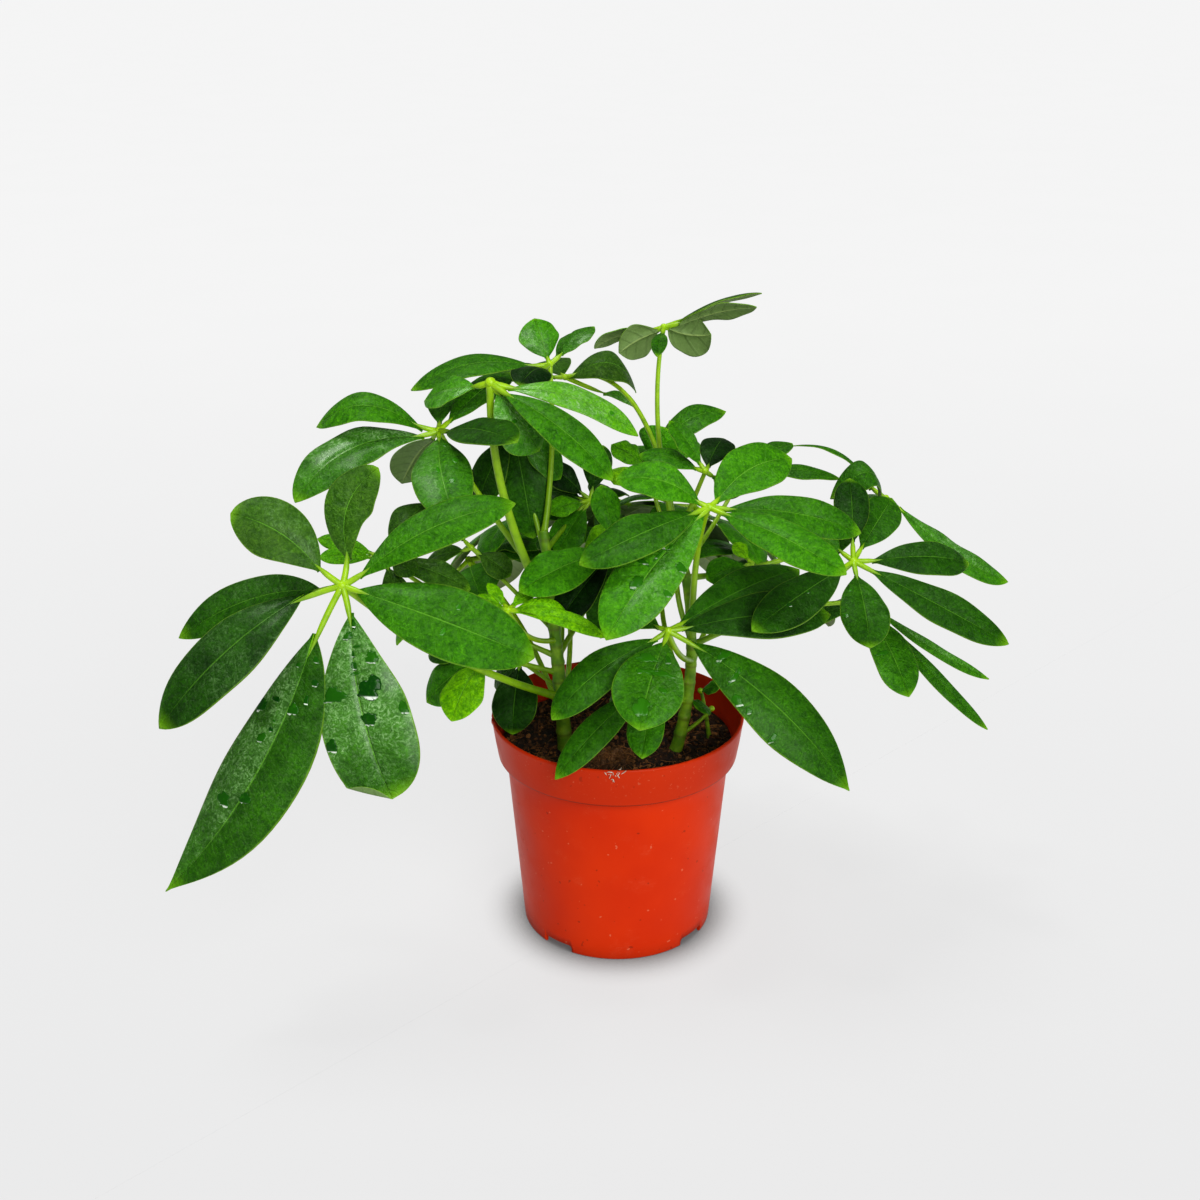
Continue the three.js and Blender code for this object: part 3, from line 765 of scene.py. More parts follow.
def rgb(red: float, green: float, blue: float) -> Colour:
    """A linear colour from its 0 to 255 screen values.

    Args:
        red: how much red.
        green: how much green.
        blue: how much blue.

    Returns:
        The colour, with an alpha of 1.
    """
    def linear(v: float) -> float:
        """One channel in linear light."""
        v /= 255
        return v / 12.92 if v <= 0.04045 else ((v + 0.055) / 1.055) ** 2.4
    return (linear(red), linear(green), linear(blue), 1.0)


@dataclass(frozen=True)
class UpperFinish:
    """The glossy upper side of a leaf."""

    dark: Colour = rgb(6, 42, 1)
    light: Colour = rgb(88, 168, 14)
    olive: Colour = rgb(70, 104, 32)
    young: Colour = rgb(146, 216, 3)
    shade: Colour = rgb(150, 185, 120)
    # Painted highlight along the creases:
    crease_highlight: Colour = rgb(255, 255, 190)
    rib: Colour = rgb(122, 190, 62)
    base: Colour = rgb(140, 205, 20)
    margin: Colour = rgb(142, 186, 58)
    # Painted sheen and painted glints:
    sheen: Colour = rgb(118, 172, 92)
    glint: Colour = rgb(186, 214, 168)
    olive_youth: float = 0.1
    mottle: float = 0.42
    roughness: float = 0.42
    relief: float = 0.0013

    def make(self) -> bpy.types.Material:
        """Builds the material.

        Returns:
            The material.
        """
        s = Shade("leaf_upper")
        across, along = s.layer("blade")
        tone, youth = s.layer("look")
        # The veins layer also carries how much painted sheen and clear coat there is.
        phase, sheen_and_coat = s.layer("veins")
        place = s.place()
        off = (across * 2 - 1).size()
        broad = s.noise(place, 48, 3, 0.55)
        cloud = s.noise(place, 240, 3, 0.6, 0.3)
        fine = s.noise(place, 780, 3, 0.7)
        crease = s.noise(place, 420, 2, 0.5, 1.8)
        colour = s.mix(tone + (broad - 0.5) * self.mottle, self.dark, self.light)
        is_olive = 1 - (youth - self.olive_youth).size().band(0.0, 0.04)
        colour = s.mix(is_olive * (0.75 + (broad - 0.5) * 0.8), colour, self.olive)
        colour = s.mix(youth.band(0.16, 1.0), colour, self.young)
        colour = s.blend("MULTIPLY", cloud.band(0.56, 0.36) * 0.55, colour, self.shade)
        colour = s.blend("MULTIPLY", fine.band(0.62, 0.36) * 0.62, colour, self.shade)
        # Painted highlight on the crease ridges.
        colour = s.blend("SOFT_LIGHT", crease.band(0.52, 0.72) * 0.5, colour, self.crease_highlight)
        # Painted sheen and painted glints, in patches.
        colour = self.paint_sheen(s, place, sheen_and_coat, colour)
        vein = side_veins(phase, 0.9) * (1 - off * 0.7)
        colour = s.mix(vein * (tone * 0.08 + 0.015), colour, self.rib)
        foot = 1 - along.band(0.0, 0.11)
        rib = 1 - (off / (foot * 0.22 + 0.036)).band(0.25, 1.0)
        colour = s.mix(foot * rib * 0.85, colour, self.base)
        fade = 1 - along.band(0.55, 0.97) * 0.8
        colour = s.mix(rib * fade * (1 - foot) * (tone * 0.5 + 0.28), colour, self.rib)
        colour = s.mix(along.band(0.9, 1.0) * 0.4, colour, self.base)
        margin = off.band(0.955, 0.99).most(along.band(0.965, 0.995) * 0.8)
        colour = s.mix(margin * 0.45, colour, self.margin)
        rough = self.roughness + (fine - 0.5) * 0.16 + (cloud - 0.5) * 0.2
        height = fine * 0.35 + crease * 0.8 + cloud * 0.8 - vein * 0.22 - rib * 0.6
        return s.finish(Base_Color=colour, Roughness=rough, Coat_Weight=sheen_and_coat * 0.5,
                        Coat_Roughness=0.22, IOR=1.2,
                        Normal=s.bump(height, self.relief, 0.7))

    def paint_sheen(self, s: Shade, place: Sock, sheen_and_coat: Sock, colour: Sock) -> Sock:
        """The colour with a painted sheen on it, wrinkled and in patches, and painted glints.

        Args:
            s: the material.
            place: the point on the leaf.
            sheen_and_coat: how much painted sheen there is, 0 to 1.
            colour: the colour without the painted sheen.

        Returns:
            The colour.
        """
        wrinkle = s.noise(place, 430, 3, 0.62, 1.8).band(0.34, 0.7)
        patch = s.noise(place, 95, 3, 0.6).band(0.3, 0.62)
        sheen = sheen_and_coat * (patch * 0.7 + 0.3) * (wrinkle * 0.8 + 0.2)
        # Painted sheen: the lamps' light reflected in wrinkled patches.
        colour = s.mix(sheen * 0.8, colour, self.sheen)
        # Painted glints where the wrinkles are strongest.
        return s.mix(sheen * (wrinkle ** 3) * 0.42, colour, self.glint)


def side_veins(phase: Sock, edge: float) -> Sock:
    """Thin lines where the phase of the side veins peaks, above an edge from 0 to 1."""
    return ((phase * TURN).sine() * 0.5 + 0.5).band(edge, 1.0)


@dataclass(frozen=True)
class UnderFinish:
    """The pale, dull underside of a leaf."""

    dark: Colour = rgb(82, 112, 54)
    light: Colour = rgb(136, 164, 100)
    young: Colour = rgb(160, 192, 84)
    rib: Colour = rgb(165, 188, 112)
    grain: Colour = rgb(185, 195, 160)
    groove: Colour = rgb(120, 135, 90)
    relief: float = 0.0006

    def make(self) -> bpy.types.Material:
        """Builds the material.

        Returns:
            The material.
        """
        s = Shade("leaf_under")
        off = (s.layer("blade")[0] * 2 - 1).size()
        tone, youth = s.layer("look")
        place = s.place()
        fine = s.noise(place, 700, 3, 0.6)
        broad = s.noise(place, 120, 2, 0.5)
        colour = s.mix(tone, self.dark, self.light)
        colour = s.mix(youth, colour, self.young)
        colour = s.blend("MULTIPLY", fine.band(0.35, 0.7) * 0.3, colour, self.grain)
        vein = side_veins(s.layer("veins")[0], 0.86) * (1 - off * 0.5)
        colour = s.blend("MULTIPLY", vein * 0.25, colour, self.groove)
        rib = 1 - off.band(0.02, 0.07)
        colour = s.mix(rib * 0.6, colour, self.rib)
        height = fine * 0.4 + broad * 0.6 + vein * 0.6 + rib * 0.8
        return s.finish(Base_Color=colour, Roughness=0.62 + (fine - 0.5) * 0.15,
                        Normal=s.bump(height, self.relief, 0.5))


@dataclass(frozen=True)
class StalkFinish:
    """Petioles and the leaflets' own stalks."""

    old: Colour = rgb(76, 126, 12)
    fresh: Colour = rgb(170, 214, 6)
    streak: Colour = rgb(150, 186, 90)
    fleck: Colour = rgb(196, 220, 120)
    relief: float = 0.0004

    def make(self) -> bpy.types.Material:
        """Builds the material.

        Returns:
            The material.
        """
        s = Shade("leaf_stalk")
        tone = s.layer("look")[0]
        along = s.layer("blade")[1]
        leaflet = s.layer("veins")[0]
        place = s.place()
        streak = s.noise(place, 260, 3, 0.5)
        fine = s.noise(place, 1400, 2, 0.5)
        fade = leaflet * along.band(0.35, 1.0) + (1 - leaflet) * (1 - along.band(0.0, 0.7)) * 0.6
        colour = s.mix(tone * (1 - fade * 0.75), self.old, self.fresh)
        colour = s.blend("MULTIPLY", streak.band(0.4, 0.75) * 0.4, colour, self.streak)
        colour = s.mix(fine.band(0.6, 0.75) * 0.12, colour, self.fleck)
        return s.finish(Base_Color=colour, Roughness=0.42 + (streak - 0.5) * 0.2,
                        Coat_Weight=0.15, Coat_Roughness=0.3,
                        Normal=s.bump(streak * 0.6 + fine * 0.4, self.relief, 0.4))


@dataclass(frozen=True)
class BarkFinish:
    """Green stems with brown scars and pale specks."""

    green: Colour = rgb(92, 142, 14)
    pale: Colour = rgb(146, 190, 34)
    scar: Colour = rgb(92, 66, 34)
    speck: Colour = rgb(160, 160, 96)
    # Darker towards the foot of the stem:
    darker_foot: Colour = rgb(62, 70, 24)
    relief: float = 0.0008

    def make(self) -> bpy.types.Material:
        """Builds the material.

        Returns:
            The material.
        """
        s = Shade("stem_bark")
        scarred, height_share = s.layer("look")
        place = s.place()
        broad = s.noise(place, 140, 3, 0.55)
        fine = s.noise(place, 900, 3, 0.6)
        speck = s.noise(place, 480, 1, 0.5)
        colour = s.mix(broad.band(0.35, 0.7), self.green, self.pale)
        colour = s.mix(speck.band(0.66, 0.76) * 0.4, colour, self.speck)
        colour = s.mix(scarred * (0.25 + fine * 0.4), colour, self.scar)
        # Darker towards the foot of the stem.
        colour = s.mix((1 - height_share).band(0.6, 1.0) * 0.4, colour, self.darker_foot)
        height = broad * 0.5 + fine * 0.5 + speck * 0.4
        return s.finish(Base_Color=colour, Roughness=0.55 + (fine - 0.5) * 0.25,
                        Normal=s.bump(height, self.relief, 0.6))


@dataclass(frozen=True)
class PotFinish:
    """Thin moulded plastic, handled and a little scratched. Lengths are in metres."""

    colour: Colour = rgb(210, 56, 2)
    deep: Colour = rgb(200, 49, 2)
    collar: Colour = rgb(176, 50, 12)
    dust: Colour = rgb(216, 128, 96)
    # The dark colour below serves specks of grime and a painted shade line under the collar.
    grime_and_shade: Colour = rgb(96, 34, 14)
    step: float = 0.0888  # height of the dark line under the collar
    scratch_turn: tuple[float, float, float] = (0.5, 0.35, 0.2)
    scratch_stretch: tuple[float, float, float] = (1.0, 1.0, 7.0)
    relief: float = 0.0006

    def make(self) -> bpy.types.Material:
        """Builds the material.

        Returns:
            The material.
        """
        s = Shade("pot_plastic")
        place = s.place()
        _, back, height_up = s.split(place)
        broad = s.noise(place, 22, 3, 0.5)
        cloud = s.noise(place, 75, 4, 0.6)
        fine = s.noise(place, 2200, 2, 0.6)
        colour = s.mix(broad.band(0.3, 0.7), self.colour, self.deep)
        stretched = s.node("ShaderNodeMapping", {"vector_type": "POINT"}, Vector=place,
                           Rotation=self.scratch_turn, Scale=self.scratch_stretch)
        scratch = 1 - (s.noise(stretched, 190, 1, 0.4, 0.6) - 0.5).size().band(0.0, 0.006)
        rim = height_up.band(0.084, 0.108) * (-1 * back).band(0.02, 0.055)
        speck = s.noise(place, 420, 1, 0.3).band(0.765, 0.785)
        dots = s.noise(place, 700, 2, 0.6).band(0.66, 0.7) * rim * 0.8
        wear = (scratch * cloud.band(0.56, 0.66) * 0.5).most(speck * 0.5).most(dots)
        colour = s.mix(wear, colour, self.dust)
        dark = s.noise(place, 380, 1, 0.3).band(0.24, 0.215)
        colour = s.mix(dark * 0.45, colour, self.grime_and_shade)
        colour = s.mix(cloud.band(0.55, 0.8) * 0.06, colour, self.dust)
        on_collar = (height_up - self.step).band(-0.0004, 0.0008)
        colour = s.mix(on_collar * 0.45, colour, self.collar)
        # Painted shade: a dark line where the collar overhangs the body.
        line = 1 - (height_up - self.step).size().band(0.0003, 0.0014)
        colour = s.mix(line * 0.9, colour, self.grime_and_shade)
        rough = 0.36 + cloud.band(0.4, 0.75) * 0.14 + (fine - 0.5) * 0.08
        height = cloud * 0.5 + fine * 0.05 + wear * 0.12
        return s.finish(Base_Color=colour, Roughness=rough, IOR=1.22,
                        Normal=s.bump(height, self.relief, 0.35))


@dataclass(frozen=True)
class SoilFinish:
    """Damp dark potting soil, with brown coir and bleached fibres."""

    dark: Colour = rgb(26, 15, 10)
    brown: Colour = rgb(70, 42, 24)
    coir: Colour = rgb(190, 132, 74)
    bleached: Colour = rgb(252, 242, 228)
    grain: Colour = rgb(140, 130, 120)
    relief: float = 0.0018

    def make(self) -> bpy.types.Material:
        """Builds the material.

        Returns:
            The material.
        """
        s = Shade("potting_soil")
        coir, bleached = s.layer("look")
        place = s.place()
        fine = s.noise(place, 900, 4, 0.65)
        broad = s.noise(place, 160, 3, 0.6)
        colour = s.mix(broad.band(0.35, 0.7), self.dark, self.brown)
        colour = s.mix(coir, colour, self.coir)
        colour = s.mix(bleached, colour, self.bleached)
        colour = s.blend("MULTIPLY", fine.band(0.3, 0.6) * 0.5, colour, self.grain)
        return s.finish(Base_Color=colour, Roughness=0.82 + (fine - 0.5) * 0.2,
                        Normal=s.bump(fine + broad * 0.5, self.relief, 0.8))


@dataclass(frozen=True)
class WaterFinish:
    """Clear water lying on a leaf: dark within, with a painted highlight at its low edge."""

    deep: Colour = rgb(14, 68, 8)
    thin: Colour = rgb(58, 130, 18)
    # Painted highlight at the drop's low edge:
    gleam: Colour = rgb(236, 246, 232)
    relief: float = 0.0005

    def make(self) -> bpy.types.Material:
        """Builds the material.

        Returns:
            The material.
        """
        s = Shade("water")
        tone, fall = s.layer("look")
        ripple = s.noise(s.place(), 500, 2, 0.5, 0.5)
        colour = s.mix(tone, self.deep, self.thin)
        colour = s.mix(ripple.band(0.5, 0.8) * 0.4, colour, self.thin)
        # Painted highlight: a bright crescent near the drop's low edge.
        gleam = fall.band(0.8, 0.88) * (1 - fall.band(0.95, 0.985)) * ripple.band(0.3, 0.5)
        colour = s.mix(gleam * (0.95 - tone * 0.85), colour, self.gleam)
        return s.finish(Base_Color=colour, Roughness=0.2 + (ripple - 0.5) * 0.04, IOR=1.3,
                        Normal=s.bump(ripple, self.relief, 0.4))


@dataclass(frozen=True)
class FloorFinish:
    """The plain pale studio floor, with a painted contact shadow close to what stands on it."""

    contact: float = 0.022  # how far the dark edge reaches, in metres
    glow: float = 0.662
    dim: Colour = (0.11, 0.11, 0.11, 1)
    grain: Colour = (0.12, 0.12, 0.12, 1)
    front: Colour = (0.872, 0.872, 0.876, 1)
    back: Colour = (0.99, 0.99, 0.99, 1)
    # Painted contact shadow:
    painted_shadow: Colour = (0.12, 0.12, 0.12, 1)

    def make(self) -> bpy.types.Material:
        """Builds the material.

        Returns:
            The material.
        """
        s = Shade("studio_floor")
        place = s.place()
        depth = s.split(place)[1]
        near = s.node("ShaderNodeAmbientOcclusion", {"samples": 6}, Distance=self.contact,
                      out="AO")
        colour = s.mix(s.noise(place, 6, 2, 0.5), self.dim, self.grain)
        glow = s.mix(depth.band(-0.9, 1.6), self.front, self.back)
        # Painted contact shadow: the glow darkens near what stands on the floor.
        glow = s.mix(near.band(0.35, 0.98), self.painted_shadow, glow)
        return s.finish(Base_Color=colour, Roughness=0.9, Specular_IOR_Level=0.0,
                        Emission_Color=glow, Emission_Strength=self.glow)


@dataclass(frozen=True)
class FarSide:
    """The rule for the leaves that fill the far side, fanned about the stems, in mm."""

    count: int = 7
    first_turn: float = 26
    turn_step: float = 22
    reach: tuple[float, float] = (79, 66)
    centre: tuple[float, float] = (0, 28)
    low: float = 166
    high: float = 190
    inner: float = 0.72
    attach: float = 36
    attach_step: float = 4
    knee_share: float = 0.55
    knee_back: float = 4
    knee_drop: float = 26
    tilt: float = 0.45
    leaflets: int = 6
    fan_step: float = 20
    length: float = 54
    width: float = 23
    droop: float = 0.35
    stalk: float = 9
    arch: float = 6
    thick: float = 1.2

    def plan(self, i: int) -> LeafPlan:
        """The plan of the leaf that comes i-th around the stems.

        Args:
            i: its number, from 0.

        Returns:
            The plan.
        """
        turn = math.radians(self.first_turn + self.turn_step * i)
        height, reach = (self.high, self.inner) if i % 2 else (self.low, 1.0)
        out = np.array([math.cos(turn), math.sin(turn), 0.0])
        hub = (self.centre[0] + self.reach[0] * reach * out[0],
               self.centre[1] + self.reach[1] * reach * out[1], height)
        face = np.array([self.tilt * out[0], self.tilt * out[1], 2 * self.tilt])
        first = unit(out - face * np.dot(out, face))
        second = np.cross(face, first)
        rows = []
        for k in range(self.leaflets):
            fan = math.radians(360 * k / self.leaflets + self.fan_step * i)
            long = self.length * (1 + 0.22 * math.cos(fan)) * (1 + 0.08 * math.sin(5 * k + i))
            tip = unit(first * math.cos(fan) + second * math.sin(fan) - face * self.droop) * long
            width = self.width * (1 + 0.15 * math.cos(3 * k + i))
            rows.append(Row(tuple(tip), width, self.arch))
        stem = "stem_1" if out[0] < 0 else "stem_2"
        knee = (self.knee_share * hub[0], self.knee_share * hub[1] + self.knee_back,
                height - self.knee_drop)
        low = height - self.attach - self.attach_step * i
        return LeafPlan((stem, low, knee), hub, tuple(face), self.stalk, self.thick,
                        tuple(rows), Grow.FRESH)


SEEDLING = LeafPlan(None, (39, -3, 121), (0, -40, 90), 1, 0.9, (Row((9, -4, 4), 9, 1),), Grow.MID)

LEAF_LAYERS = ("blade", "look", "veins")
UPPER, UNDER, STALK = 0, 1, 2
SEEDLING_NAME = "leaf_seedling"  # its solid has no leaflet
TONE_SEED = 7000
SLOTS = {"leaf_young_bright": "leaf_young", "leaf_left_low": "leaf_young",
         "leaf_young_yellow": "leaf_yellow"}


@dataclass(frozen=True)
class BladeForm:
    """How finely a blade is made, and how it waves, in mm and shares."""

    stations: int = 30
    curl_stations: int = 90
    curl_columns: int = 40
    tail: float = 0.12  # how far along the blade its stalk ends
    columns: tuple[float, ...] = (-1, -0.94, -0.8, -0.6, -0.4, -0.2, -0.07, 0,
                                  0.07, 0.2, 0.4, 0.6, 0.8, 0.94, 1)
    thickness: float = 0.34
    rib_depth: float = 0.9
    rib_width: float = 0.8
    groove: float = 0.35
    crown: float = 0.17
    fall: float = 0.27
    vein_spacing: float = 6.5
    vein_slant: float = 0.7
    nip_length: float = 0.04
    edge_wave: float = 0.022


@dataclass
class Blade:
    """One leaflet's blade as a surface, in mm."""

    hub: np.ndarray
    tip: np.ndarray
    face: np.ndarray
    row: Row
    leaf_stalk: float
    broad: float
    # How much painted sheen and clear coat:
    sheen_and_coat: float
    seed: int
    form: BladeForm = field(default_factory=BladeForm)

    def __post_init__(self) -> None:
        """Works out the rib's curve, as the solids do."""
        self.length = float(np.linalg.norm(self.tip))
        along = unit(self.tip)
        up = unit(unit(self.face) - along * np.dot(unit(self.face), along))
        up = turned(up, along, math.radians(self.row.roll))
        self.side = np.cross(along, up)
        stalk = self.leaf_stalk if self.row.stalk is None else self.row.stalk
        foot = self.hub + along * min(stalk, LONGEST_STALK * self.length)
        foot = foot + self.side * self.row.slip
        end = self.hub + self.tip
        pull = (foot + end) / 2 + up * 2 * self.row.arch + self.side * 2 * self.row.sway
        self.rib = Bow(foot, pull, end)
        self.up = up
        rng = np.random.default_rng(self.seed)
        self.wave_size = rng.uniform(0.25, 0.8, 2)
        self.wave_count = rng.uniform(1.4, 2.6, 2)
        self.wave_start = rng.uniform(0, TURN, 2)
        self.twist = math.radians(rng.uniform(-9, 9))
        self.uneven = rng.uniform(-0.05, 0.05)
        self.edge_count = 5 + 6 * abs(math.sin(self.seed))
        self.crown = self.form.crown * rng.uniform(0.6, 1.3)
        self.nip = 0.0 if self.row.point < POINT else rng.uniform(0.25, 0.5)
        # Which half gets more painted sheen.
        self.lit = self.row.lit if self.row.lit is not None else rng.choice([-0.7, 0.7])

    def half_width(self, s: np.ndarray) -> np.ndarray:
        """Half the blade's width in mm at shares s of its length.

        Args:
            s: shares of its length.

        Returns:
            The half widths in mm.
        """
        least = np.where(s >= 0.999, TIP_WIDTH / 4, STALK_WIDTH / 2 * (1 - s) + 0.2)
        nipped = 1 - self.nip * np.exp(-(1 - s) / self.form.nip_length)
        waved = 1 + self.form.edge_wave * np.sin(self.edge_count * s + self.wave_start[0])
        half = self.row.width / 2 * blade_shape(s, self.row.point)
        return np.maximum(half * (nipped * waved), least)

    def shine(self, s: np.ndarray, t: np.ndarray) -> np.ndarray:
        """How much painted sheen and clear coat the blade has, 0 to 1: one half more than the
        other.
        """
        dull = abs(self.lit) * smooth(-0.06, 0.06, -t * math.copysign(1, self.lit))
        return self.sheen_and_coat * (1 - dull) * (1 - 0.75 * smooth(0.5, 0.98, s)) * smooth(0, 0.12, s)

    def at(self, s: np.ndarray, t: np.ndarray, lift: np.ndarray | float = 0.0) -> np.ndarray:
        """Points of the blade's middle surface.

        Args:
            s: shares of its length.
            t: shares of its half width, from -1 to 1.
            lift: mm above the surface.

        Returns:
            Places in mm.
        """
        s, t = np.broadcast_arrays(np.asarray(s, float), np.asarray(t, float))
        half = self.half_width(s) * (1 + self.uneven * np.sign(t))
        x = t * half
        lift = np.asarray(lift, float)
        height = self.relief(s, t, half)
        if self.row.curl:
            x, s, height, lift = self.rolled(x, s, height, lift)
        centre, tangent = self.rib.at(s), self.rib.along(s)
        normal = unit(np.cross(self.side, tangent))
        across = np.cross(tangent, normal)
        spin = self.twist * s
        normal, across = turned(normal, tangent, spin), turned(across, tangent, spin)
        return centre + across * x[..., None] + normal * (height + lift)[..., None]

    def relief(self, s: np.ndarray, t: np.ndarray, half: np.ndarray) -> np.ndarray:
        """How far the blade's surface stands above its flat form, in mm.

        Args:
            s: shares of its length.
            t: shares of its half width, from -1 to 1.
            half: its half width there, in mm.

        Returns:
            Heights in mm.
        """
        u = np.abs(t)
        bulge = half * (self.crown * u - self.form.fall * u * u)
        which = (t > 0).astype(int)
        wave = self.wave_size[which] * np.sin(TURN * self.wave_count[which] * s
                                              + self.wave_start[which])
        inner = np.sin(math.pi * np.clip(s, 0, 1))
        wave = wave * u ** 2 * inner * np.minimum(half / 8, 1.2)
        return bulge + wave - self.form.groove * np.exp(-(t * half / 0.9) ** 2) * inner

    def rolled(self, x: np.ndarray, s: np.ndarray, height: np.ndarray,
               lift: np.ndarray) -> tuple[np.ndarray, ...]:
        """Rolls up what lies beyond the fold line.

        Args:
            x: mm across the blade.
            s: shares of its length.
            height: mm of relief.
            lift: mm above the surface.

        Returns:
            The four values after the roll.
        """
        curl = self.row.curl
        line = np.array(curl.end, float) - np.array(curl.start, float)
        line = line / np.linalg.norm(line)
        out_x, out_y = -line[1], line[0]
        long = np.linalg.norm(self.rib.end - self.rib.start)
        y = s * long
        beyond = (x - curl.start[0]) * out_x + (y - curl.start[1]) * out_y
        past = np.maximum(beyond, 0)
        angle = np.minimum(past / curl.radius, math.pi * 0.9)
        left = past - angle * curl.radius
        near = (curl.radius - lift) * np.sin(angle) + left * np.cos(angle)
        move = np.where(beyond > 0, near - beyond, 0)
        raised = curl.radius * (1 - np.cos(angle)) + left * np.sin(angle)
        height = np.where(beyond > 0, height * 0.5 + raised, height)
        s = np.clip((y + move * out_y) / long, 0, 1)
        return x + move * out_x, s, height, lift * np.cos(angle)

    def draw(self, draft: Draft, look: tuple[float, float]) -> None:
        """Adds the blade, closed all round, and its stalk to a draft.

        Args:
            draft: the draft.
            look: the leaflet's tone and youth.
        """
        form = self.form
        n = form.curl_stations if self.row.curl else form.stations
        s = 0.5 * (1 - np.cos(np.linspace(0, math.pi, n))) / 2 + 0.5 * np.linspace(0, 1, n)
        t = np.array(form.columns, float)
        if self.row.curl:
            t = np.sort(np.concatenate([t, np.linspace(-0.97, 0.97, form.curl_columns)]))
        grid_s, grid_t = np.meshgrid(s, t, indexing="ij")
        x = grid_t * self.half_width(grid_s)
        rib = form.rib_depth * (1 - 0.8 * grid_s) * np.exp(-(x / form.rib_width) ** 2)
        top = self.at(grid_s, grid_t, form.thickness / 2)
        bottom = self.at(grid_s, grid_t, -form.thickness / 2 - rib)
        along_vein = grid_s * self.length - form.vein_slant * np.abs(x)
        phase = along_vein / form.vein_spacing + 0.5 * (grid_t > 0)
        # The veins layer carries the veins' phase and the amount of painted sheen.
        values = {"blade": np.stack([(grid_t + 1) / 2, grid_s], -1).reshape(-1, 2),
                  "look": np.tile(look, (x.size, 1)),
                  "veins": np.stack([phase, self.shine(grid_s, grid_t)], -1).reshape(-1, 2)}
        rows, columns = len(s), len(t)
        corners = [i * columns + k for i in range(rows - 1) for k in range(columns - 1)]
        quads = [(a, a + 1, a + columns + 1, a + columns) for a in corners]
        first = draft.add(top.reshape(-1, 3), quads, UPPER, values)
        second = draft.add(bottom.reshape(-1, 3), [q[::-1] for q in quads], UNDER, values)
        numbers = np.arange(rows * columns).reshape(rows, columns)
        ring = np.concatenate([numbers[0], numbers[1:, -1], numbers[-1, -2::-1],
                               numbers[-2:0:-1, 0]])
        edge = [(first + b, first + a, second + a, second + b)
                for a, b in zip(ring, np.roll(ring, -1))]
        draft.join(edge, UPPER, flat=True)
        self.draw_stalk(draft, look)

    def draw_stalk(self, draft: Draft, look: tuple[float, float]) -> None:
        """Adds the leaflet's own stalk, which runs a little way onto the blade.

        Args:
            draft: the draft.
            look: the leaflet's tone and youth.
        """
        over = self.rib.at(np.array(self.form.tail)) - self.up * 0.35
        pull = self.rib.start * 0.75 + self.hub * 0.25 - self.up * 0.3
        tone = (0.95 if look[1] > 0.3 else 0.62 + 0.35 * look[0], look[1])

        def radius(q: np.ndarray) -> np.ndarray:
            """Thinner along its length, and pointed on the blade."""
            return self.broad * (1.0 - 0.2 * q) * (1 - 0.82 * smooth(0.45, 1, q))
        draft.tube(Bow(self.hub, pull, over), radius, 10, 14, STALK,
                   {"look": tone, "veins": (1, 0)})


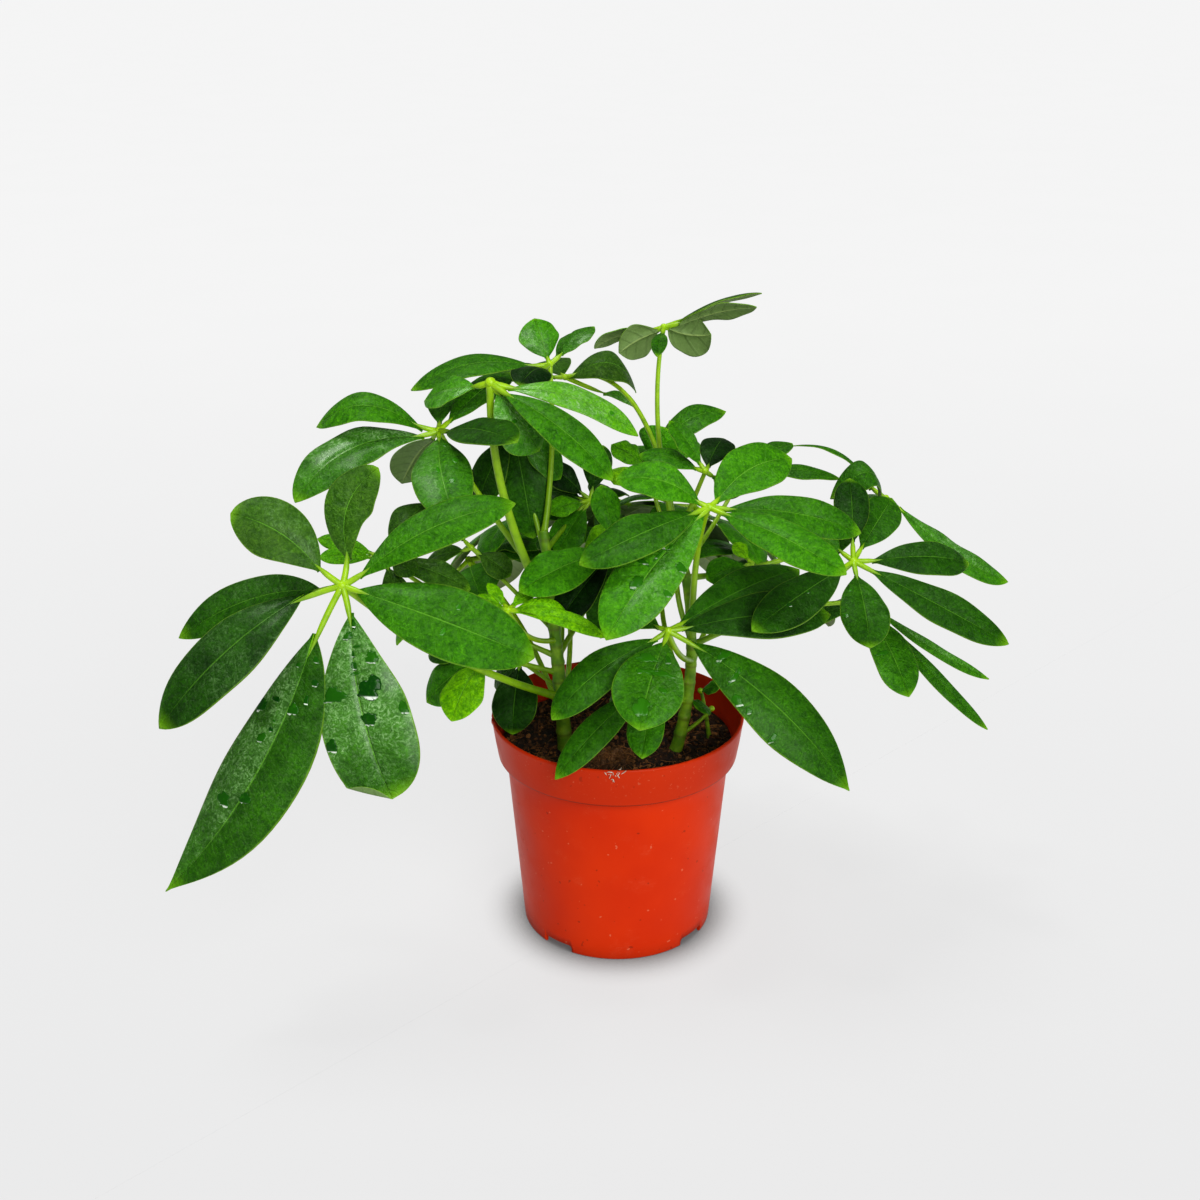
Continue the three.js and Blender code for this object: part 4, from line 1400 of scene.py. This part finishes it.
@dataclass
class Foliage:
    """All the compound leaves, each standing for its own solid."""

    plans: dict[str, LeafPlan]
    stems: dict[str, StemPlan]
    blades: dict[tuple[str, int], Blade] = field(default_factory=dict)

    def grow(self, solids: dict[str, bpy.types.Object]) -> None:
        """Builds every compound leaf.

        Args:
            solids: the frame's nodes, by name.
        """
        finishes = [UpperFinish().make(), UnderFinish().make(), StalkFinish().make()]
        for number, (name, plan) in enumerate(self.plans.items()):
            draft = Draft(LEAF_LAYERS)
            hub = np.array(plan.hub, float)
            if plan.petiole:
                self.draw_petiole(draft, plan, hub)
            self.draw_hub(draft, plan, hub)
            surface = self.surface_of(solids[name])
            for i, row in enumerate(plan.rows):
                tip = self.found_tip(hub, row, surface)
                if tip is None and name == SEEDLING_NAME:
                    tip = np.array(row.tip, float)
                if tip is None:
                    log.info("%s: leaflet %d has no room", name, i + 1)
                    continue
                blade = Blade(hub, tip, np.array(plan.face, float), row, plan.stalk,
                              0.55 + 0.55 * plan.thick,
                              plan.sheen_and_coat if row.sheen_and_coat is None else row.sheen_and_coat, 100 * number + i)
                self.blades[name, i + 1] = blade
                tone, youth = (row.grow or plan.grow).value
                rng = np.random.default_rng(TONE_SEED + 100 * number + i)
                tone = float(np.clip(tone + rng.uniform(-0.09, 0.09), 0.02, 1))
                blade.draw(draft, (tone, youth))
            piece = draft.build(name.replace("leaf", "foliage", 1), finishes)
            put(piece, SLOTS.get(name, "leaf_green"), name)

    @staticmethod
    def surface_of(solid: bpy.types.Object) -> np.ndarray:
        """The vertices of a solid, in mm.

        Args:
            solid: the solid.

        Returns:
            One place a row.
        """
        points = np.empty(len(solid.data.vertices) * 3)
        solid.data.vertices.foreach_get("co", points)
        points = points.reshape(-1, 3)
        turn = np.array(solid.matrix_world)
        return (points @ turn[:3, :3].T + turn[:3, 3]) / MM

    @staticmethod
    def found_tip(hub: np.ndarray, row: Row, surface: np.ndarray) -> np.ndarray | None:
        """Where the solid's leaflet ends, which may have been bent clear of others.

        Args:
            hub: the hub in mm.
            row: the leaflet's row.
            surface: vertices of the solid in mm.

        Returns:
            The tip from the hub in mm, or None where the solid has no such leaflet.
        """
        tip = np.array(row.tip, float)
        for shorter in SHORTER:
            length = np.linalg.norm(tip) * shorter
            for give in GIVE_STEPS:
                bent = unit(tip + GIVE_LINE * give) * length
                gap = np.linalg.norm(surface - (hub + bent), axis=1).min()
                if gap < TIP_REACH:
                    return bent
        return None

    def draw_petiole(self, draft: Draft, plan: LeafPlan, hub: np.ndarray) -> None:
        """Adds the leaf's long stalk from its stem to its hub.

        Args:
            draft: the draft.
            plan: the leaf.
            hub: its hub in mm.
        """
        stem, height, knee = plan.petiole
        start = on_stem(self.stems[stem], height)
        bow = Bow(start, np.array(knee, float), hub)
        thick = plan.thick

        def radius(t: np.ndarray) -> np.ndarray:
            """Thinner along its length, and swollen at both ends."""
            return thick * (1.15 - 0.3 * t + 0.35 * np.exp(-(t / 0.05) ** 2)
                            + 0.25 * np.exp(-((1 - t) / 0.03) ** 2))
        draft.tube(bow, radius, 12, 36, STALK, {"look": (0.55 + 0.4 * plan.grow.value[0], 0)})

    @staticmethod
    def draw_hub(draft: Draft, plan: LeafPlan, hub: np.ndarray) -> None:
        """Adds the knob where the leaflets meet.

        Args:
            draft: the draft.
            plan: the leaf.
            hub: its hub in mm.
        """
        size = plan.thick + 0.5
        up = unit(np.array(plan.face, float))
        bow = Bow(hub - up * size, hub, hub + up * size)

        def radius(q: np.ndarray) -> np.ndarray:
            """A ball's outline."""
            return size * np.sqrt(np.clip(1 - (2 * q - 1) ** 2, 0, 1)) + 0.02
        draft.tube(bow, radius, 12, 8, STALK, {"look": (0.95, 0.5)})


def on_stem(plan: StemPlan, height: float) -> np.ndarray:
    """The point on a stem at a height, in mm, found by halving.

    Args:
        plan: the stem.
        height: how high the point lies.

    Returns:
        The point.
    """
    bow = stem_bow(plan)
    low, high = 0.0, 1.0
    for _ in range(30):
        middle = (low + high) / 2
        if bow.at(np.array(middle))[2] < height:
            low = middle
        else:
            high = middle
    return bow.at(np.array(low))


def stem_bow(plan: StemPlan) -> Bow:
    """A stem's curve, in mm."""
    return Bow(*(np.array(p, float) for p in (plan.foot, plan.bow, plan.top)))


@dataclass(frozen=True)
class Stems:
    """The stems, with rings of leaf scars, in mm and shares of the radius."""

    plans: dict[str, StemPlan]
    spacing: float = 17.0
    swell: float = 0.13
    girth: float = 0.16
    scars: int = 24
    sides: int = 28
    steps: int = 150

    def build(self) -> None:
        """Builds each stem in place of its solid."""
        bark = BarkFinish().make()
        for number, (name, plan) in enumerate(self.plans.items()):
            draft = Draft(("blade", "look"))
            thick, thin = plan.radius
            long = plan.top[2] - plan.foot[2]
            lean = np.random.default_rng(40 + number).uniform(0, TURN, self.scars)

            def radius(t: np.ndarray) -> np.ndarray:
                """An even taper."""
                return thick + (thin - thick) * t

            def wobble(t: np.ndarray, angle: np.ndarray) -> np.ndarray:
                """A thicker foot, a swelling at each scar and low bumps between them.

                Args:
                    t: shares of the stem's length.
                    angle: radians around it.

                Returns:
                    What is added to the radius, as a share of it.
                """
                turn = t * long / self.spacing
                ring = np.cos(TURN * turn) ** 8
                moon = 0.5 + 0.5 * np.cos(angle - lean[np.round(turn).astype(int) % self.scars])
                bumps = 0.03 * np.sin(9 * t * long / 10 + 2 * angle) + 0.02 * np.sin(3 * angle)
                foot = self.girth * (1 - t)
                return foot + self.swell * ring * (0.25 + 1.1 * moon) + bumps * (1 - ring)
            draft.tube(stem_bow(plan), radius, self.sides, self.steps, 0, None, wobble)
            share = draft.values[0][:, 0, 1]
            scarred = np.cos(TURN * (share * long / self.spacing + 0.03)) ** 40
            draft.values[0][:, 1] = np.stack([scarred, share], 1)
            put(draft.build(name + "_bark", [bark]), "stem_bark", name)


@dataclass(frozen=True)
class Drop:
    """Water on one leaflet: where it lies, in shares of the blade, and its size, in mm.

    The thinner it is, the more of the leaf's own colour shows through.
    """

    s: float
    t: float
    wide: float
    long: float
    thin: float = 0.2


DROPS: dict[tuple[str, int], tuple[Drop, ...]] = {
    ("leaf_left_front", 5): (
        Drop(0.06, -0.3, 1.8, 5.4), Drop(0.12, 0.24, 3.8, 4.8), Drop(0.18, -0.22, 3.6, 1.5),
        Drop(0.22, -0.02, 1.2, 4), Drop(0.28, -0.01, 2.6, 4.6), Drop(0.32, -0.01, 3.9, 1.9),
        Drop(0.25, -0.68, 5.6, 6.2), Drop(0.41, -0.32, 10.4, 10.6), Drop(0.41, 0.62, 8.9, 7.9),
        Drop(0.56, -0.88, 4, 7), Drop(0.57, -0.12, 5.8, 7.6), Drop(0.65, 0.85, 6, 5.6),
    ),
    ("leaf_left_front", 6): (
        Drop(0.11, 0.34, 2.6, 2.4), Drop(0.08, -0.6, 2.8, 3.1), Drop(0.28, 0.86, 6, 7.2),
        Drop(0.24, 0.5, 5.2, 2.5), Drop(0.25, -0.14, 4.6, 7), Drop(0.21, -0.44, 2.1, 5.4),
        Drop(0.38, 0.34, 3.8, 6), Drop(0.34, 0.2, 2.5, 2.4), Drop(0.31, 0.23, 1.5, 1.5),
        Drop(0.63, 0.4, 6.2, 8), Drop(0.58, -0.08, 5.3, 5.9), Drop(0.15, -0.62, 3.2, 3.5),
    ),
    ("leaf_left_front", 4): (Drop(0.53, 0.31, 4.4, 2.2, 1), Drop(0.55, -0.47, 3, 2.2, 1)),
    ("leaf_right_front", 5): (
        Drop(0.36, 0.43, 9.7, 2.9, 0.6), Drop(0.63, 0.12, 5.4, 7, 0.6),
        Drop(0.41, -0.8, 6.5, 4.4, 0.6), Drop(0.6, -0.85, 5, 2.6, 0.6),
        Drop(0.5, 0.42, 8, 2.4, 0.6), Drop(0.23, 0.45, 3, 4.6, 0.6),
        Drop(0.42, 0.1, 1.2, 7, 0.6), Drop(0.33, -0.02, 1.2, 5, 0.6),
    ),
    ("leaf_front_low", 2): (
        Drop(0.26, 0.44, 9.4, 5.4, 0.8), Drop(0.4, -0.16, 14.5, 3.4, 0.8),
        Drop(0.43, 0.38, 3.4, 3.3, 0.8), Drop(0.23, -0.47, 2.6, 7.4, 0.8),
        Drop(0.79, 0.09, 7.4, 9.8, 0.8), Drop(0.57, -0.4, 4.2, 2.8, 0.8),
    ),
    ("leaf_front_low", 3): (
        Drop(0.15, -0.41, 8.4, 4.4, 0.6), Drop(0.25, 0.18, 11, 2.4, 0.6),
        Drop(0.33, 0.8, 4.6, 6.7, 0.6), Drop(0.4, 0.75, 2.8, 3.8, 0.6),
        Drop(0.57, 0.8, 5.3, 3, 0.6),
    ),
    ("leaf_front_low", 4): (Drop(0.56, -0.27, 3.8, 2, 0.4), Drop(0.65, -0.05, 2, 2.1, 0.4)),
    ("leaf_right_outer", 6): (Drop(0.25, 0.64, 1.7, 2.5, 0.7), Drop(0.59, 0.79, 2.4, 2.8, 0.7)),
    ("leaf_right_outer", 7): (Drop(0.65, -0.08, 2.7, 2.5, 0.5), Drop(0.45, -0.1, 1.3, 2.1, 0.5)),
    ("leaf_right_low", 3): (Drop(0.29, 0.6, 4.6, 6.6, 0.5), Drop(0.46, 0.48, 7, 3, 0.5)),
    ("leaf_left_upper", 3): (
        Drop(0.4, -0.55, 2.5, 4.6, 0.9), Drop(0.48, 0.09, 2, 4.6, 0.9),
        Drop(0.63, -0.29, 2.9, 3.8, 0.9), Drop(0.15, -0.45, 1.8, 3.4, 0.9),
    ),
    ("leaf_upper_middle", 1): (
        Drop(0.39, -0.25, 2.9, 2.6, 0.9), Drop(0.45, 0.25, 3.4, 2.2, 0.9),
        Drop(0.64, -0.19, 2.4, 2.6, 0.9),
    ),
    ("leaf_upper_middle", 3): (Drop(0.76, -0.12, 2.3, 2.4, 1),),
}


@dataclass(frozen=True)
class Water:
    """The drops on the leaves, each a low closed dome, in mm."""

    drops: dict[tuple[str, int], tuple[Drop, ...]]
    rings: tuple[float, ...] = (0.3, 0.55, 0.75, 0.9, 1.0)
    sides: int = 36
    height: float = 0.09
    sunk: float = 0.1
    ragged: float = 0.26
    waves: tuple[int, ...] = (2, 3, 5, 8, 11)

    def build(self, blades: dict[tuple[str, int], Blade]) -> None:
        """Lays every drop on its blade.

        Args:
            blades: the blades by leaf and row.
        """
        draft = Draft(("look",))
        for number, (place, drops) in enumerate(self.drops.items()):
            for i, drop in enumerate(drops):
                rng = np.random.default_rng(900 + 50 * number + i)
                self.draw(draft, blades[place], drop, rng)
        put(draft.build("water_drops", [WaterFinish().make()]), "leaf_green")

    def draw(self, draft: Draft, blade: Blade, drop: Drop, rng: np.random.Generator) -> None:
        """Adds one drop.

        Args:
            draft: the draft.
            blade: the blade that it lies on.
            drop: the drop.
            rng: what its ragged edge comes from.
        """
        angle = around(self.sides)
        size = math.sqrt(drop.wide * drop.long)
        rough = self.ragged * min(size / 5, 1.4)
        ragged = 1 + sum(rng.uniform(0.4, 1) * rough / k ** 0.6
                         * np.sin(k * angle + rng.uniform(0, 6)) for k in self.waves)
        half = float(blade.half_width(np.array(drop.s)))
        share = np.array((0.0,) + self.rings)
        reach = share[:, None] * ragged[None, :] / 2
        s = np.clip(drop.s + reach * drop.long * np.cos(angle) / blade.length, 0.01, 0.99)
        t = np.clip(drop.t + reach * drop.wide * np.sin(angle) / half, -0.99, 0.99)
        dome = self.height * size ** 0.75 * np.sqrt(1 - share ** 2)
        over = np.where(share < 1, dome + 0.04, -self.sunk)[:, None] * np.ones(self.sides)
        cap = blade.at(s, t, blade.form.thickness / 2 + over)
        centre = cap[:1, 0]
        normal = unit(np.cross(blade.side, blade.rib.along(np.array(drop.s))))
        spots = np.concatenate([centre, cap[1:].reshape(-1, 3), centre - normal * (0.1 + dome[0])])
        # Fall is how far down the drop a point lies; it places the painted highlight at the low
        # edge.
        down = np.array([0.0, 0.0, -1.0])
        down = unit(down - normal * np.dot(down, normal))
        fall = 0.5 + 0.5 * np.clip((spots - centre) @ down / (0.5 * size), -1, 1)
        tone = np.full(len(spots), np.clip(drop.thin + rng.uniform(-0.2, 0.2), 0, 1))
        draft.add(spots, shell(len(self.rings), self.sides, flipped=True), 0,
                  {"look": np.stack([tone, fall], 1)})


@dataclass(frozen=True)
class Pot:
    """The thin plastic pot, in mm, with the sizes of its solid."""

    height: float = 109.0
    rim: float = 60.0
    collar_foot: float = 89.0
    collar: float = 57.2
    body: float = 53.3
    foot: float = 45.8
    wall: float = 1.3
    lip: float = 2.2
    pad: float = 36.0
    ring: float = 1.6
    channel: float = 4.0
    notches: int = 4
    notch_turn: float = 51.4
    notch_width: float = 16.0
    notch_height: float = 4.0
    notch_depth: float = 14.0
    notch_round: float = 1.6
    sides: int = 200

    def build(self) -> bpy.types.Object:
        """Turns the pot's outline, frays the lip and cuts the notches.

        Returns:
            The pot.
        """
        angle = around(self.sides)
        fray = self.fray(angle)
        rings = []
        for r, z in self.outline():
            share = np.clip((z - self.height + 3.4) / 3, 0, 1) if r > self.collar - 2 else 0
            radius = r + share * fray[:, 0]
            rings.append(np.stack([radius * np.cos(angle), radius * np.sin(angle),
                                   z + share * fray[:, 1]], 1))
        spots = np.concatenate([[[0, 0, 0]], *rings, [[0, 0, self.wall]]])
        draft = Draft(("blade",))
        draft.add(spots, shell(len(rings), self.sides, flipped=True), 0)
        piece = draft.build("pot_shell", [PotFinish().make()])
        for i in range(self.notches):
            self.cut_notch(piece, math.radians(self.notch_turn - 90 + 360 * i / self.notches))
        return piece

    def outline(self) -> list[tuple[float, float]]:
        """Radius and height, from the pad up the outside, over the lip and down the inside.

        Returns:
            The points of the outline.
        """
        slope = (self.body - self.foot) / self.collar_foot
        inside = self.foot - self.wall
        floor = self.channel + self.wall
        ring, step, top = self.foot - self.ring, self.collar_foot, self.height
        under = [(self.pad - 0.6, 0), (self.pad, 0.6), (self.pad + 2, self.channel),
                 (ring, self.channel), (ring, 0.3), (ring + 0.3, 0), (self.foot - 0.4, 0),
                 (self.foot, 0.5)]
        side = [(self.foot + slope * z, z) for z in range(8, 88, 8)]
        collar = [(self.body - 0.1, step - 1.2), (self.body + 0.25, step - 0.35),
                  (self.body + 1.0, step), (self.collar - 0.7, step + 0.05),
                  (self.collar - 0.15, step + 0.4), (self.collar, step + 1.1),
                  (self.collar + 1.3, step + 9)]
        lip = [(self.rim - 0.45, top - 3.2), (self.rim - 0.1, top - 1.7), (self.rim, top - 1.0),
               (self.rim - 0.15, top - 0.35), (self.rim - 0.6, top), (self.rim - 1.1, top - 0.1),
               (self.rim - 1.45, top - 0.6), (self.rim - self.lip, top - 3)]
        within = [(self.collar - self.wall, step + 1.3), (inside + slope * step, step - 1),
                  (inside, floor), (self.pad + 1.2, floor), (self.pad - 0.8, self.wall)]
        return under + side + collar + lip + within

    @staticmethod
    def fray(angle: np.ndarray) -> np.ndarray:
        """How the lip is frayed on its left side: mm outward and mm up, by angle.

        Args:
            angle: radians around the pot.

        Returns:
            The two numbers for each angle.
        """
        rough = np.random.default_rng(5).uniform(-1, 1, (len(angle), 2))
        near = np.exp(-((angle - math.radians(183)) / 0.17) ** 2)
        slight = 0.06 * np.sin(5 * angle) + 0.05 * np.sin(11 * angle + 1)
        out = near * (rough[:, 0] * 0.55 + 0.2) + slight
        up = near * (rough[:, 1] * 0.9 - 0.5) + 0.5 * slight - 0.1
        return np.stack([np.minimum(out, 0.9), np.minimum(up, 0.0)], 1)

    def cut_notch(self, piece: bpy.types.Object, turn: float) -> None:
        """Cuts one drain notch, with rounded top corners, out of the pot's foot.

        Args:
            piece: the pot.
            turn: where around the foot, in radians.
        """
        form = bmesh.new()
        size = (self.notch_depth * MM, self.notch_width * MM, 2 * self.notch_height * MM, 1)
        bmesh.ops.create_cube(form, size=1.0, matrix=Matrix.Diagonal(size))
        outward = [e for e in form.edges
                   if max(abs(part) for part in (e.verts[0].co - e.verts[1].co)[1:]) < 1e-6]
        bmesh.ops.bevel(form, geom=outward, offset=self.notch_round * MM, segments=4,
                        profile=0.5, affect="EDGES")
        place = Matrix.Rotation(turn, 4, "Z") @ Matrix.Translation((self.foot * MM, 0, 0))
        bmesh.ops.transform(form, matrix=place, verts=form.verts)
        mesh = bpy.data.meshes.new("notch")
        form.to_mesh(mesh)
        form.free()
        tool = bpy.data.objects.new("notch_tool", mesh)
        bpy.context.collection.objects.link(tool)
        cut = piece.modifiers.new("notch", "BOOLEAN")
        cut.operation, cut.object, cut.solver = "DIFFERENCE", tool, "EXACT"
        bpy.context.view_layer.objects.active = piece
        bpy.ops.object.modifier_apply(modifier=cut.name)
        bpy.data.objects.remove(tool)


@dataclass(frozen=True)
class Soil:
    """The potting soil: a rough bed with crumbs and coir fibres, in mm."""

    level: float = 95.0
    edge: float = 54.6
    skirt: float = 7.0
    margin: float = 1.5
    heap: tuple[float, float] = (-4.0, -24.0)  # where the coir lies thick
    heap_height: float = 2.8
    rings: int = 46
    sides: int = 150
    crumbs: int = 2600
    fibres: int = 330
    heaped: float = 0.3  # share of the fibres that lie on the heap
    rough: float = 0.45
    tuft: int = 15
    lip: float = 109.3
    lip_reach: float = 60.15

    def lift(self, x: np.ndarray, y: np.ndarray) -> np.ndarray:
        """How far the bed stands above its level, in mm.

        Args:
            x: mm to the right.
            y: mm to the back.

        Returns:
            Heights in mm.
        """
        wave = 1.3 * np.sin(0.31 * x + 1) * np.cos(0.37 * y + 0.4)
        small = 0.5 * np.sin(1.3 * x + 0.6 * y) * np.sin(1.1 * y - 0.7 * x + 2)
        tiny = 0.35 * np.sin(3.1 * x + 1.3 * y + 1) * np.sin(2.7 * y - 1.9 * x)
        away = (x - self.heap[0]) ** 2 + (y - self.heap[1]) ** 2
        return wave + small + tiny + self.heap_height * np.exp(-away / 150)

    def coir_share(self, x: np.ndarray, y: np.ndarray) -> np.ndarray:
        """How much of the bed is brown coir, near its front, from 0 to 1."""
        return np.exp(-((x - self.heap[0]) / 10) ** 2 - ((y - self.heap[1]) / 8) ** 2)

    def build(self) -> bpy.types.Object:
        """Builds the soil.

        Returns:
            The soil.
        """
        draft = Draft(("look",))
        rng = np.random.default_rng(11)
        self.lay_bed(draft, rng)
        self.strew_crumbs(draft, rng)
        self.strew_fibres(draft, rng)
        self.hang_tuft(draft, rng)
        return draft.build("soil_bed", [SoilFinish().make()])

    def lay_bed(self, draft: Draft, rng: np.random.Generator) -> None:
        """Adds the bed itself, closed below, with a rough top.

        Args:
            draft: the draft.
            rng: where the random numbers come from.
        """
        angle = around(self.sides)

        def ring(radius: float, height: float | np.ndarray) -> np.ndarray:
            """Points around the pot's axis."""
            return np.stack([radius * np.cos(angle), radius * np.sin(angle),
                             height * np.ones(self.sides)], 1)
        rings = []
        for radius in np.linspace(0, self.edge, self.rings + 1)[1:]:
            rough = rng.uniform(-self.rough, self.rough, self.sides)
            flat = ring(radius, self.level)
            rings.append(ring(radius, self.level + self.lift(flat[:, 0], flat[:, 1]) + rough))
        rings[-1] = ring(self.edge, self.level - 0.4)
        rings.append(ring(self.edge - self.margin, self.level - self.skirt))
        spots = np.concatenate([[[0, 0, self.level]], *rings, [[0, 0, self.level - self.skirt]]])
        coir = 0.6 * self.coir_share(spots[:, 0], spots[:, 1])
        draft.add(spots, shell(len(rings), self.sides), 0,
                  {"look": np.stack([coir, 0 * coir], 1)})

    def strew_crumbs(self, draft: Draft, rng: np.random.Generator) -> None:
        """Adds the crumbs: small, squashed, uneven balls.

        Args:
            draft: the draft.
            rng: where the random numbers come from.
        """
        ball = bmesh.new()
        bmesh.ops.create_icosphere(ball, subdivisions=1, radius=1.0)
        base = np.array([v.co[:] for v in ball.verts])
        faces = [[v.index for v in f.verts] for f in ball.faces]
        ball.free()
        for _ in range(self.crumbs):
            x, y = self.spot(rng, self.margin)
            size = rng.uniform(0.25, 1.0) ** 1.6 * 1.25 + 0.2
            form = base * size * rng.uniform(0.55, 1.25, 3)
            form = form * rng.uniform(0.75, 1.25, (len(base), 1))
            form = turned(form, unit(rng.normal(size=3)), rng.uniform(0, 6))
            z = self.level + self.lift(x, y) + size * rng.uniform(-0.2, 0.5)
            tone = rng.uniform(0, 0.35) if rng.uniform() < 0.8 else rng.uniform(0.4, 0.9)
            coir = self.coir_share(x, y)
            look = (max(tone, rng.uniform(0.4, 1) * coir), 0.06 * coir)
            draft.add(form + [x, y, z], faces, 0, {"look": np.tile(look, (len(form), 1))},
                      flat=True)

    def strew_fibres(self, draft: Draft, rng: np.random.Generator) -> None:
        """Adds the fibres, each bent once and kept within the pot.

        Args:
            draft: the draft.
            rng: where the random numbers come from.
        """
        for _ in range(self.fibres):
            x, y = self.spot(rng, 5)
            if rng.uniform() < self.heaped:
                x, y = rng.normal(self.heap[0], 6), rng.normal(self.heap[1], 4)
            way, long = rng.uniform(0, TURN), rng.uniform(3, 11)
            ends = np.array([math.cos(way), math.sin(way)]) * long / 2
            bend = np.array([-math.sin(way), math.cos(way)]) * rng.uniform(-0.35, 0.35) * long
            place = [x, y] + np.array([-ends, bend, ends])
            far = np.maximum(np.linalg.norm(place, axis=1), 1e-6)
            place = place * np.minimum(1, (self.edge - self.margin) / far)[:, None]
            z = self.level + self.lift(place[:, 0], place[:, 1]) + rng.uniform(0.1, 1.0, 3)
            z[1] += rng.uniform(0, 1.4)
            thick = rng.uniform(0.09, 0.2)
            draft.tube(Bow(*np.column_stack([place, z])), lambda q, w=thick: np.full_like(q, w),
                       4, 8, 0, {"look": (rng.uniform(0.3, 1.0), 0)})

    def hang_tuft(self, draft: Draft, rng: np.random.Generator) -> None:
        """Adds the tuft of bleached fibres that clings to the front of the lip.

        Args:
            draft: the draft.
            rng: where the random numbers come from.
        """
        for _ in range(self.tuft):
            x, z = rng.normal(-2, 1.6), rng.uniform(103.5, self.lip)
            x = x * (z - 99) / 8
            y = -math.sqrt(self.lip_reach ** 2 - x * x) + 0.13 * (self.lip - z)
            spot = np.array([x, y, z])
            ends = rng.normal(0, 1, (2, 3)) * [0.7, 0.12, 0.9]
            bow = Bow(spot + ends[0], spot + [0, -0.25, 0], spot + ends[1])
            draft.tube(bow, lambda q: 0.1 + 0.16 * np.sin(math.pi * q), 5, 6, 0,
                       {"look": (1, rng.uniform(0.6, 1))})

    def spot(self, rng: np.random.Generator, margin: float) -> tuple[float, float]:
        """A random place on the bed, at least a margin from its edge."""
        r, a = (self.edge - margin) * math.sqrt(rng.uniform()), rng.uniform(0, TURN)
        return r * math.cos(a), r * math.sin(a)


@dataclass(frozen=True)
class Sun:
    """A wide, even light from far away: the way to it, its width in degrees, its power."""

    source: tuple[float, float, float]
    spread: float
    power: float

    def hang(self, name: str) -> None:
        """Adds the light to the scene.

        Args:
            name: the light's name.
        """
        lamp = bpy.data.lights.new(name, "SUN")
        lamp.angle, lamp.energy = math.radians(self.spread), self.power
        holder = bpy.data.objects.new(name, lamp)
        holder.location = self.source
        holder.rotation_euler = (-Vector(self.source)).to_track_quat("-Z", "Y").to_euler()
        bpy.context.collection.objects.link(holder)


@dataclass(frozen=True)
class Studio:
    """The floor, the light and the camera, in metres."""

    reach: float = 60.0
    sky: float = 0.155
    backdrop: float = 0.78
    front_light: Sun = Sun((0.65, -1.5, 0.95), 40, 2.1)
    top_light: Sun = Sun((-0.4, 0.2, 1.5), 26, 1.2)
    glint_light: Sun = Sun((-0.3, -0.1, 1.0), 7, 0.3)
    camera_place: tuple[float, float, float] = (-0.0084, -0.685, 0.446)
    camera_dip: float = 22.24
    lens: float = 48.0
    sensor: float = 36.0

    def build(self) -> None:
        """Sets up the floor, the lights and the camera."""
        self.lay_floor()
        self.light_sky()
        self.front_light.hang("front_light")
        self.top_light.hang("top_light")
        self.glint_light.hang("glint_light")
        self.place_camera()
        view = bpy.context.scene.view_settings
        view.view_transform, view.look = "Standard", "Medium High Contrast"

    def lay_floor(self) -> None:
        """Lays one wide square under the pot."""
        corners = [(x * self.reach, y * self.reach, 0) for x, y in
                   ((-1, -1), (1, -1), (1, 1), (-1, 1))]
        mesh = bpy.data.meshes.new("studio_floor")
        mesh.from_pydata(corners, [], [(0, 1, 2, 3)])
        mesh.materials.append(FloorFinish().make())
        floor = bpy.data.objects.new("studio_floor", mesh)
        bpy.context.collection.objects.link(floor)

    def light_sky(self) -> None:
        """Lights softly from all round, and shows a pale backdrop behind the floor."""
        world = bpy.data.worlds.new("studio_sky")
        world.use_nodes = True
        tree = world.node_tree
        colour, strength = tree.nodes["Background"].inputs[:2]
        colour.default_value = (1, 1, 1, 1)
        seen = tree.nodes.new("ShaderNodeLightPath").outputs["Is Camera Ray"]
        sky_or_backdrop = tree.nodes.new("ShaderNodeMath")
        sky_or_backdrop.operation = "MULTIPLY_ADD"
        tree.links.new(seen, sky_or_backdrop.inputs[0])
        sky_or_backdrop.inputs[1].default_value = self.backdrop - self.sky
        sky_or_backdrop.inputs[2].default_value = self.sky
        tree.links.new(sky_or_backdrop.outputs[0], strength)
        bpy.context.scene.world = world

    def place_camera(self) -> None:
        """Places the camera as the photograph was taken."""
        lens = bpy.data.cameras.new("camera")
        lens.lens, lens.sensor_width = self.lens, self.sensor
        camera = bpy.data.objects.new("camera", lens)
        camera.location = self.camera_place
        camera.rotation_euler = (math.radians(90 - self.camera_dip), 0, 0)
        bpy.context.collection.objects.link(camera)
        bpy.context.scene.camera = camera


def main() -> None:
    """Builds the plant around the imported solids."""
    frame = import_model()
    Studio().build()
    put(Pot().build(), "pot_plastic", "pot")
    put(Soil().build(), "soil", "soil")
    Stems(STEMS).build()
    far = FarSide()
    back = {f"leaf_back_{i + 1}": far.plan(i) for i in range(far.count)}
    foliage = Foliage({**PLANS, **back, SEEDLING_NAME: SEEDLING}, STEMS)
    foliage.grow(frame["nodes"])
    Water(DROPS).build(foliage.blades)
    bpy.context.view_layer.update()


if __name__ == "__main__":
    main()
